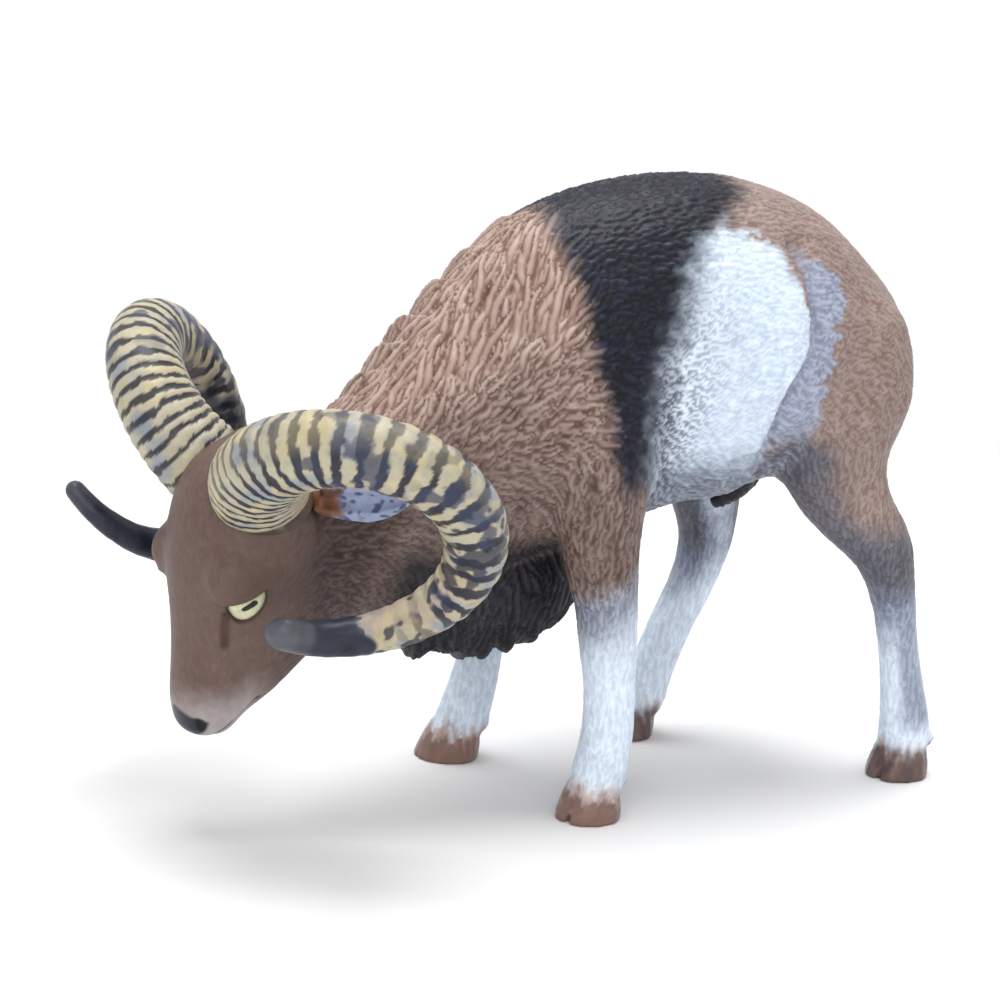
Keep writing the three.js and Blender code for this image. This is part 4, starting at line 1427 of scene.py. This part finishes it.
@dataclass
class Parting:
    """Cuts the finished skin along the seams into closed pieces.

    No more than seams_met edges of a seam may meet at a point: two lie on a plain seam, three where
    three pieces join.
    """

    coat: Coat
    lip: float = 0.35
    dip: float = 0.6
    seams_met: int = 3
    rounds: int = 20

    def build(self) -> list[bpy.types.Object]:
        """Part the skin.

        Returns:
            One piece for each soft solid.
        """
        skin = self.coat.skin
        put_paint(skin.mesh, self.coat.colour)
        layer = skin.mesh.attributes.new(SKIN_NORMAL, "FLOAT_VECTOR", "POINT")
        layer.data.foreach_set("vector", skin.normals.astype(np.float32).ravel())
        whole = bmesh.new()
        whole.from_mesh(skin.mesh)
        owner = self._face_owners(whole)
        pieces = [self._piece(whole, owner == index, node) for index, node in enumerate(Node)]
        whole.free()
        return pieces

    def _face_owners(self, whole: bmesh.types.BMesh) -> Array:
        """Give each face to one solid, so that every seam is a plain loop.

        Args:
            whole: The whole skin.

        Returns:
            Index of the solid for each face.
        """
        point_owner = self.coat.skin.owner
        owner = np.array([
            np.bincount([point_owner[vert.index] for vert in face.verts]).argmax() for face in whole.faces
        ])
        whole.verts.ensure_lookup_table()
        pairs = [
            (edge.link_faces[0].index, edge.link_faces[1].index, edge.verts[0].index, edge.verts[1].index)
            for edge in whole.edges
        ]
        first, second, start, end = np.array(pairs).T
        for _ in range(self.rounds):
            seam = owner[first] != owner[second]
            met = np.bincount(start[seam], minlength=len(whole.verts))
            met = met + np.bincount(end[seam], minlength=len(whole.verts))
            crossed = np.flatnonzero(met > self.seams_met)
            if len(crossed) == 0:
                break
            for index in crossed:
                around = [face.index for face in whole.verts[index].link_faces]
                owner[around] = np.bincount(owner[around]).argmax()
        return owner

    def _piece(self, whole: bmesh.types.BMesh, kept: Array, node: Node) -> bpy.types.Object:
        """Cut one piece out and close it with a lip and a hidden floor.

        Args:
            whole: The whole skin.
            kept: Which of its faces belong to the piece.
            node: Solid that the piece stands for.

        Returns:
            The closed piece.
        """
        body = whole.copy()
        others = [face for face, keep in zip(body.faces, kept) if not keep]
        bmesh.ops.delete(body, geom=others, context="FACES")
        normal = body.verts.layers.float_vector[SKIN_NORMAL]
        rims = [edge for edge in body.edges if edge.is_boundary]
        grown = bmesh.ops.extrude_edge_only(body, edges=rims)["geom"]
        for vert in grown:
            if isinstance(vert, bmesh.types.BMVert):
                vert.co -= self.lip * vert[normal]
        rims = [edge for edge in body.edges if edge.is_boundary]
        floors = bmesh.ops.holes_fill(body, edges=rims, sides=0)["faces"]
        bmesh.ops.poke(body, faces=floors, offset=-self.dip, center_mode="MEAN")
        bmesh.ops.recalc_face_normals(body, faces=body.faces)
        mesh = bpy.data.meshes.new(f"{node.value}_painted")
        body.to_mesh(mesh)
        body.free()
        mesh.shade_smooth()
        flat = np.empty(len(mesh.vertices) * 3, np.float32)
        mesh.attributes[SKIN_NORMAL].data.foreach_get("vector", flat)
        mesh.attributes.remove(mesh.attributes[SKIN_NORMAL])
        piece = NODE_SLOTS[node].dress(mesh.name, mesh, node.value)
        mesh.normals_split_custom_set_from_vertices(flat.reshape(-1, 3))
        return piece


@dataclass
class Horn:
    """A ribbed horn that coils out and forward from the forehead, striped down to its dark tip.

    side is 1 on the right and -1 on the left, and angles are in degrees. dark_tip is where the dark
    paint of the tip starts, measured from the tip. shade_from is where painted shade starts to darken the
    back of the coil, measured from the skull. With shade_from past the tip, the horn has no painted shade
    and is pale down to dark_tip. worn_tip and bare_edge are shares.
    """

    node: str
    side: int
    splay: float
    lean: float
    start: float
    turn: float
    opening: float
    tip_radius: float
    dark_tip: float
    worn_tip: float
    shade_from: float
    bare_edge: float
    seat: Place = (-38.102, 6.392, 38.7)
    coil_radius: float = 10.8
    pitch: float = 14.7
    base_radius: float = 5.1
    flatten: float = 0.86
    root: float = 3.0
    root_scale: float = 0.92
    row: float = 0.16
    dome_step: int = 10
    sides: int = 96
    rib_height: float = 0.13
    rib_middle: float = 0.4
    rib_spacing: Line = ((0, 1.2), (8, 1.3), (25, 2.2), (60, 2.3))
    rib_table: int = 900
    groove_width: Line = ((0, 0.3), (8, 0.36), (16, 0.42), (30, 0.38))
    pit_depth: float = 0.05

    @property
    def length(self) -> float:
        """Length of the coil along its middle line."""
        return math.radians(self.turn) * math.hypot(self.coil_radius, self.pitch / (2 * math.pi))

    def _line(self, share: float) -> tuple[Vector, Vector]:
        """Follow the middle line of the coil.

        Args:
            share: 0 at the skull, 1 at the tip.

        Returns:
            The point there, and the way out from the coil's middle.
        """
        back = Matrix.Rotation(math.radians(self.splay), 3, "Z") @ Vector((1, 0, 0))
        up = Matrix.Rotation(math.radians(-self.lean), 3, back) @ Vector((0, 0, 1))
        axis = up.cross(back)

        def radial(angle: float) -> Vector:
            """Point outwards at an angle in degrees."""
            return back * math.cos(math.radians(angle)) + up * math.sin(math.radians(angle))

        outward = radial(self.start - self.turn * share)
        centre = Vector(self.seat) - self.coil_radius * radial(self.start)
        reach = self.coil_radius + self.opening * share * share
        point = centre + reach * outward + axis * (self.pitch * self.turn * share / 360)
        return point, outward

    def _ring(self, share: float, shift: float, scale: float) -> Matrix:
        """Place one ring of the horn.

        Args:
            share: Its place along the coil.
            shift: How far it is moved on along the line.
            scale: Its size against the horn's thickness there.

        Returns:
            Matrix that turns a unit circle into the ring.
        """
        point, outward = self._line(share)
        ahead = (self._line(share + 0.001)[0] - self._line(share - 0.001)[0]).normalized()
        across = ahead.cross(outward).normalized()
        radius = (self.base_radius + (self.tip_radius - self.base_radius) * share) * scale
        ring = Matrix.Identity(4)
        columns = (outward * radius, across * self.flatten * radius, ahead, point + shift * ahead)
        for index, column in enumerate(columns):
            ring.col[index][:3] = (column.x, self.side * column.y, column.z)
        ring.translation.y += MID_Y
        return ring

    def build(self) -> bpy.types.Object:
        """Extrude the horn ring by ring, then rib and paint it.

        Returns:
            The finished horn.
        """
        (first, before), *others = self._rings()
        body = bmesh.new()
        way = body.verts.layers.float.new("way")
        turn = body.verts.layers.float.new("turn")
        circle = bmesh.ops.create_circle(body, cap_ends=False, segments=self.sides, radius=1)["verts"]
        for vert in circle:
            vert[turn] = math.atan2(vert.co.y, vert.co.x)
            vert[way] = first
        bmesh.ops.transform(body, matrix=before, verts=circle)
        bottom = edges = body.edges[:]
        for place, ring in others:
            grown = bmesh.ops.extrude_edge_only(body, edges=edges)["geom"]
            verts = [item for item in grown if isinstance(item, bmesh.types.BMVert)]
            edges = [item for item in grown if isinstance(item, bmesh.types.BMEdge) and item.is_boundary]
            bmesh.ops.transform(body, matrix=ring @ before.inverted(), verts=verts)
            for vert in verts:
                vert[way] = place
            before = ring
        for rim in (bottom, edges):
            floor = bmesh.ops.edgeloop_fill(body, edges=rim)["faces"]
            bmesh.ops.poke(body, faces=floor)
        bmesh.ops.recalc_face_normals(body, faces=body.faces)
        body.normal_update()
        along = np.array([vert[way] for vert in body.verts])
        around = np.array([vert[turn] for vert in body.verts])
        points = np.array([vert.co for vert in body.verts])
        wave, ribbed = self._ribs(along, points)
        pits = self.pit_depth * Grain.HORN_PITS.at(points) * ease(0, 4, self.length - along)
        relief = self.rib_height * ribbed * (wave - self.rib_middle) + pits
        for vert, amount in zip(body.verts, relief):
            vert.co += float(amount) * vert.normal
        for name in ("turn", "way"):
            body.verts.layers.float.remove(body.verts.layers.float[name])
        mesh = bpy.data.meshes.new(f"{self.node}_painted")
        body.to_mesh(mesh)
        body.free()
        put_paint(mesh, self._paint(along, around, points, wave, ribbed))
        mesh.shade_smooth()
        return Slot.HORN.dress(mesh.name, mesh, self.node)

    def _rings(self) -> list[tuple[float, Matrix]]:
        """List the rings of the horn, from inside the skull to the top of the tip.

        Returns:
            The place of each ring along the middle line, and its matrix.
        """
        rows = round(self.length / self.row)
        rings = [(-self.root, self._ring(0, -self.root, self.root_scale))]
        for step in range(rows + 1):
            rings.append((self.length * step / rows, self._ring(step / rows, 0, 1)))
        for angle in range(self.dome_step, 90, self.dome_step):
            rise = self.tip_radius * math.sin(math.radians(angle))
            rings.append((self.length + rise, self._ring(1, rise, math.cos(math.radians(angle)))))
        return rings

    def _ribs(self, along: Array, points: Array) -> tuple[Array, Array]:
        """Draw the ribs.

        Args:
            along: Distance of each point from the skull.
            points: Places of the points.

        Returns:
            A wave that is 1 on a rib and 0 in a groove, and the share of ribs, which fade at both ends.
        """
        table = np.linspace(-self.root, self.length + self.root, self.rib_table)
        period = curve(table, self.rib_spacing)
        phase = np.interp(along, table, np.cumsum((table[1] - table[0]) / period))
        phase = phase + 0.2 * Grain.RIB_SWAY.at(points) + 0.14 * Grain.RIB_WAVER.at(points)
        phase = phase + 0.08 * Grain.RIB_JAGS.at(points)
        ribbed = ease(self.dark_tip - 3, self.dark_tip + 9, self.length - along) * ease(-3, 1, along)
        return 0.5 + 0.5 * np.cos(2 * math.pi * phase), ribbed

    def _paint(self, along: Array, around: Array, points: Array, wave: Array, ribbed: Array) -> Array:
        """Paint the horn: a mottled ground, dark grooves and smears, painted shade, and the tip.

        Args:
            along: Distance of each point from the skull.
            around: Angle of each point round the horn, 0 on the outer side of the coil.
            points: Places of the points.
            wave: 1 on a rib, 0 in a groove.
            ribbed: Share of ribs.

        Returns:
            The paint of each point.
        """
        left = self.length - along
        outer = np.cos(around)
        colour = Mark.HORN.ground(len(along))
        grey = Grain.HORN_GREY.at(points) + 0.4 * Grain.HORN_GREY_EDGE.at(points)
        Mark.HORN_GREY.lay(colour, 0.9 * ease(-0.1, 0.6, grey))
        cream = Grain.HORN_CREAM.at(points) + 0.4 * Grain.HORN_CREAM_EDGE.at(points)
        Mark.HORN_CREAM.lay(colour, 0.75 * ease(0.1, 0.6, cream))
        tan = ease(0.0, 0.8, Grain.HORN_TAN.at(points) + 0.3)
        Mark.HORN_TAN.lay(colour, 0.4 * ease(0.2, -0.8, outer) * tan)
        broken = Grain.RIB_BREAKS.at(points) + 0.8 * Grain.RIB_BREAK_EDGE.at(points)
        width = curve(along, self.groove_width) + 0.26 * broken
        bare = 0.8 * ease(-0.55, -0.95, outer + 0.2 * broken) + self.bare_edge * ease(0.6, 1.0, outer)
        fading = ease(60, 44, along + 3 * Grain.RIB_FADING.at(points))
        groove = ease(width + 0.07, width - 0.07, wave) * (1 - bare)
        Mark.HORN_GROOVE.lay(colour, groove * (0.25 + 0.7 * fading) * ribbed)
        blots = Grain.HORN_BLOTS.at(points) + 0.25 * (1 - wave) + 0.25 * Grain.HORN_BLOT_EDGE.at(points)
        blots = ease(0.46, 0.56, blots) * ease(9, 16, along)
        Mark.HORN_BLOT.lay(colour, 0.8 * blots * (1 - bare) * ribbed)
        smears = Grain.HORN_SMEARS.at(points) + 0.3 * Grain.HORN_SMEAR_FIELDS.at(points)
        smears = ease(0.26, 0.42, smears + 0.3 * Grain.HORN_SMEAR_EDGE.at(points))
        Mark.HORN_SMEAR.lay(colour, 0.85 * smears * ease(22, 32, along))
        # Painted shade that darkens the far horn's back from shade_from on
        past = along - self.shade_from + 3 * Grain.HORN_SHADE_EDGE.at(points)
        Mark.HORN_PAINTED_SHADE.lay(colour, 0.85 * ease(0.0, 4.0, past))
        edge = left - self.dark_tip + 2.4 * Grain.TIP_EDGE.at(points)
        Mark.HORN_TIP.lay(colour, ease(0.6, -0.6, edge))
        Mark.TIP_BLOT.lay(colour, ease(-0.3, -2.0, edge) * ease(-0.2, 0.5, Grain.TIP_BLOTS.at(points)))
        worn = ease(4.5, 0.5, left + 1.2 * Grain.TIP_WEAR.at(points))
        Mark.TIP_WORN.lay(colour, self.worn_tip * worn)
        Mark.HORN_ROOT.lay(colour, 0.7 * ease(0.9, 0.0, along))
        return np.clip(colour, DARKEST, 1)


@dataclass
class Ear:
    """A leaf of an ear behind the horn, brown at its root and grey-blue at its tip, lightened there by a
    painted highlight.
    """

    node: str
    voxel: float = 0.16
    even_rounds: int = 12
    speckled_from: float = -31.0

    def build(self) -> bpy.types.Object:
        """Round the solid's copy off and paint it.

        Returns:
            The finished ear.
        """
        mesh = remeshed(solids_copy([self.node]), f"{self.node}_painted", self.voxel, self.even_rounds)
        mesh.shade_smooth()
        put_paint(mesh, self._paint(mesh_points(mesh)))
        return Slot.EAR.dress(mesh.name, mesh, self.node)

    def _paint(self, points: Array) -> Array:
        """Paint the ear.

        Args:
            points: Places of its points.

        Returns:
            Their paint.
        """
        colour = Mark.EAR.ground(len(points))
        Mark.EAR_WARM.lay(colour, 0.7 * ease(-0.2, 0.6, Grain.EAR_WARMTH.at(points)))
        tip = ease(-0.4, 1.0, points[:, 0] - self.speckled_from + 0.9 * Grain.EAR_EDGE.at(points))
        # The tip's grey-blue paint, lightened as a painted highlight, under its dark speckles
        Mark.EAR_GREY_AND_HIGHLIGHT.lay(colour, 0.9 * tip)
        Mark.EAR_SPECKLE.lay(colour, 0.8 * ease(0.05, 0.3, Grain.EAR_SPECKLES.at(points)) * tip)
        return np.clip(colour, DARKEST, 1)


@dataclass(frozen=True)
class Lamp:
    """A soft square lamp: its place, its edge and the height it faces in metres, its power in watts."""

    name: str
    place: Place
    size: float
    power: float
    target: float = 0.035

    def build(self) -> None:
        """Hang the lamp so that it faces the figure."""
        data = bpy.data.lights.new(self.name, "AREA")
        data.size = self.size
        data.energy = self.power
        lamp = bpy.data.objects.new(self.name, data)
        bpy.context.scene.collection.objects.link(lamp)
        away = (Vector(self.place) - Vector((0, 0, self.target))).normalized()
        turn = away.to_track_quat("Z", "Y").to_matrix().to_4x4()
        turn.translation = Vector(self.place)
        lamp.matrix_world = turn


LAMPS = (
    Lamp("key_lamp", place=(0.06, 0.1, 0.8), size=0.5, power=5.6),
    Lamp("front_lamp", place=(-0.4, -0.6, 0.5), size=0.6, power=2.9),
)


@dataclass
class Studio:
    """White floor, soft lamps and the camera.

    The camera is placed in working millimetres and degrees, and the floor is measured in metres.
    """

    target: Place = (-5.112, -0.592, 33.8)
    azimuth: float = -33.0
    elevation: float = 14.5
    distance: float = 400.0
    roll: float = 4.4
    lens: float = 133.5
    sensor: float = 36.0
    nearest: float = 0.01
    floor_half: float = 4.0
    floor_drop: float = 0.00005
    shadow_reach: tuple[float, float] = (0.09, 0.2)
    paper_colour: tuple[float, float, float, float] = (0.93, 0.93, 0.935, 1)
    paper_rough: float = 0.8
    paper_specular: float = 0.1
    white: tuple[float, float, float, float] = (1, 1, 1, 1)
    sky_strength: float = 0.52

    def build(self) -> None:
        """Set the stage."""
        self._camera()
        self._floor()
        self._sky()
        for lamp in LAMPS:
            lamp.build()
        bpy.context.scene.view_settings.view_transform = "Standard"

    def _axes(self) -> tuple[Vector, Vector, Vector]:
        """Work out the camera's own axes.

        Returns:
            Its right, its up, and the way back from the target.
        """
        turn, rise, roll = (math.radians(angle) for angle in (self.azimuth, self.elevation, self.roll))
        back = Vector((math.sin(turn) * math.cos(rise), -math.cos(turn) * math.cos(rise), math.sin(rise)))
        right = Vector((math.cos(turn), math.sin(turn), 0))
        up = back.cross(right)
        rolled_right = right * math.cos(roll) + up * math.sin(roll)
        rolled_up = up * math.cos(roll) - right * math.sin(roll)
        return rolled_right, rolled_up, back

    def _camera(self) -> None:
        """Stand the camera where the figure is seen from."""
        data = bpy.data.cameras.new("camera")
        data.lens = self.lens
        data.sensor_width = self.sensor
        data.clip_start = self.nearest
        camera = bpy.data.objects.new("camera", data)
        bpy.context.scene.collection.objects.link(camera)
        right, up, back = self._axes()
        place = Matrix((right, up, back)).transposed().to_4x4()
        place.translation = MM * (Vector(self.target) + ORIGIN + self.distance * back)
        camera.matrix_world = place
        bpy.context.scene.camera = camera

    def _floor(self) -> None:
        """Lay a pale floor that takes the shadow and turns pure white further out."""
        body = bmesh.new()
        bmesh.ops.create_grid(body, x_segments=1, y_segments=1, size=self.floor_half)
        bmesh.ops.translate(body, vec=(0, 0, -self.floor_drop), verts=body.verts)
        mesh = bpy.data.meshes.new("studio_floor")
        body.to_mesh(mesh)
        body.free()
        floor = bpy.data.objects.new("studio_floor", mesh)
        bpy.context.scene.collection.objects.link(floor)
        mesh.materials.append(self._floor_paper())

    def _floor_paper(self) -> bpy.types.Material:
        """Make the floor's white paper.

        Returns:
            Its material.
        """
        material = bpy.data.materials.new("studio_paper")
        material.use_nodes = True
        nodes, links = material.node_tree.nodes, material.node_tree.links
        paper = nodes["Principled BSDF"]
        paper.inputs["Base Color"].default_value = self.paper_colour
        paper.inputs["Roughness"].default_value = self.paper_rough
        paper.inputs["Specular IOR Level"].default_value = self.paper_specular
        glow = nodes.new("ShaderNodeEmission")
        place = nodes.new("ShaderNodeTexCoord")
        reach = nodes.new("ShaderNodeVectorMath")
        reach.operation = "LENGTH"
        fade = nodes.new("ShaderNodeMapRange")
        fade.interpolation_type = "SMOOTHSTEP"
        fade.inputs["From Min"].default_value, fade.inputs["From Max"].default_value = self.shadow_reach
        links.new(place.outputs["Object"], reach.inputs[0])
        links.new(reach.outputs["Value"], fade.inputs["Value"])
        seen = self._seen(material.node_tree)
        share = nodes.new("ShaderNodeMath")
        share.operation = "MULTIPLY"
        links.new(fade.outputs["Result"], share.inputs[0])
        links.new(seen.outputs["Value"], share.inputs[1])
        mix = nodes.new("ShaderNodeMixShader")
        links.new(share.outputs["Value"], mix.inputs["Fac"])
        links.new(paper.outputs["BSDF"], mix.inputs[1])
        links.new(glow.outputs["Emission"], mix.inputs[2])
        links.new(mix.outputs["Shader"], nodes["Material Output"].inputs["Surface"])
        return material

    @staticmethod
    def _seen(tree: bpy.types.NodeTree) -> bpy.types.Node:
        """Tell rays that look at the background from rays that light the scene.

        Args:
            tree: Node tree that asks.

        Returns:
            A node whose value is 1 for camera, glossy and transmission rays.
        """
        path = tree.nodes.new("ShaderNodeLightPath")
        glossy = tree.nodes.new("ShaderNodeMath")
        glossy.operation = "MAXIMUM"
        tree.links.new(path.outputs["Is Camera Ray"], glossy.inputs[0])
        tree.links.new(path.outputs["Is Glossy Ray"], glossy.inputs[1])
        seen = tree.nodes.new("ShaderNodeMath")
        seen.operation = "MAXIMUM"
        tree.links.new(glossy.outputs["Value"], seen.inputs[0])
        tree.links.new(path.outputs["Is Transmission Ray"], seen.inputs[1])
        return seen

    def _sky(self) -> None:
        """Surround the stage with white, dimmer where it lights than where it shows."""
        world = bpy.data.worlds.new("studio_sky")
        bpy.context.scene.world = world
        world.use_nodes = True
        tree = world.node_tree
        light = tree.nodes["Background"]
        light.inputs["Color"].default_value = self.white
        light.inputs["Strength"].default_value = self.sky_strength
        shown = tree.nodes.new("ShaderNodeBackground")
        shown.inputs["Color"].default_value = self.white
        shown.inputs["Strength"].default_value = 1.0
        mix = tree.nodes.new("ShaderNodeMixShader")
        tree.links.new(self._seen(tree).outputs["Value"], mix.inputs["Fac"])
        tree.links.new(light.outputs["Background"], mix.inputs[1])
        tree.links.new(shown.outputs["Background"], mix.inputs[2])
        tree.links.new(mix.outputs["Shader"], tree.nodes["World Output"].inputs["Surface"])


HORNS = (
    Horn(
        "horn_left", side=-1, splay=26.0, lean=41.5, start=199.0, turn=330.0, opening=0.7, tip_radius=1.9,
        dark_tip=9.5, worn_tip=0.45, shade_from=99.0, bare_edge=0.3,
    ),
    # The far horn is painted darker from shade_from on, as painted shade
    Horn(
        "horn_right", side=1, splay=33.0, lean=33.0, start=203.5, turn=378.0, opening=-0.2, tip_radius=1.2,
        dark_tip=12.0, worn_tip=0.2, shade_from=33.0, bare_edge=0.05,
    ),
)
EARS = (Ear("ear_left"), Ear("ear_right"))


def main() -> None:
    """Build the figure and its stage, and note how large it came out."""
    logging.basicConfig(level=logging.INFO, format="%(name)s %(message)s")
    coat = Coat(Skin())
    coat.build()
    Parting(coat).build()
    for piece in (*HORNS, *EARS):
        piece.build()
    Studio().build()


if __name__ == "__main__":
    main()
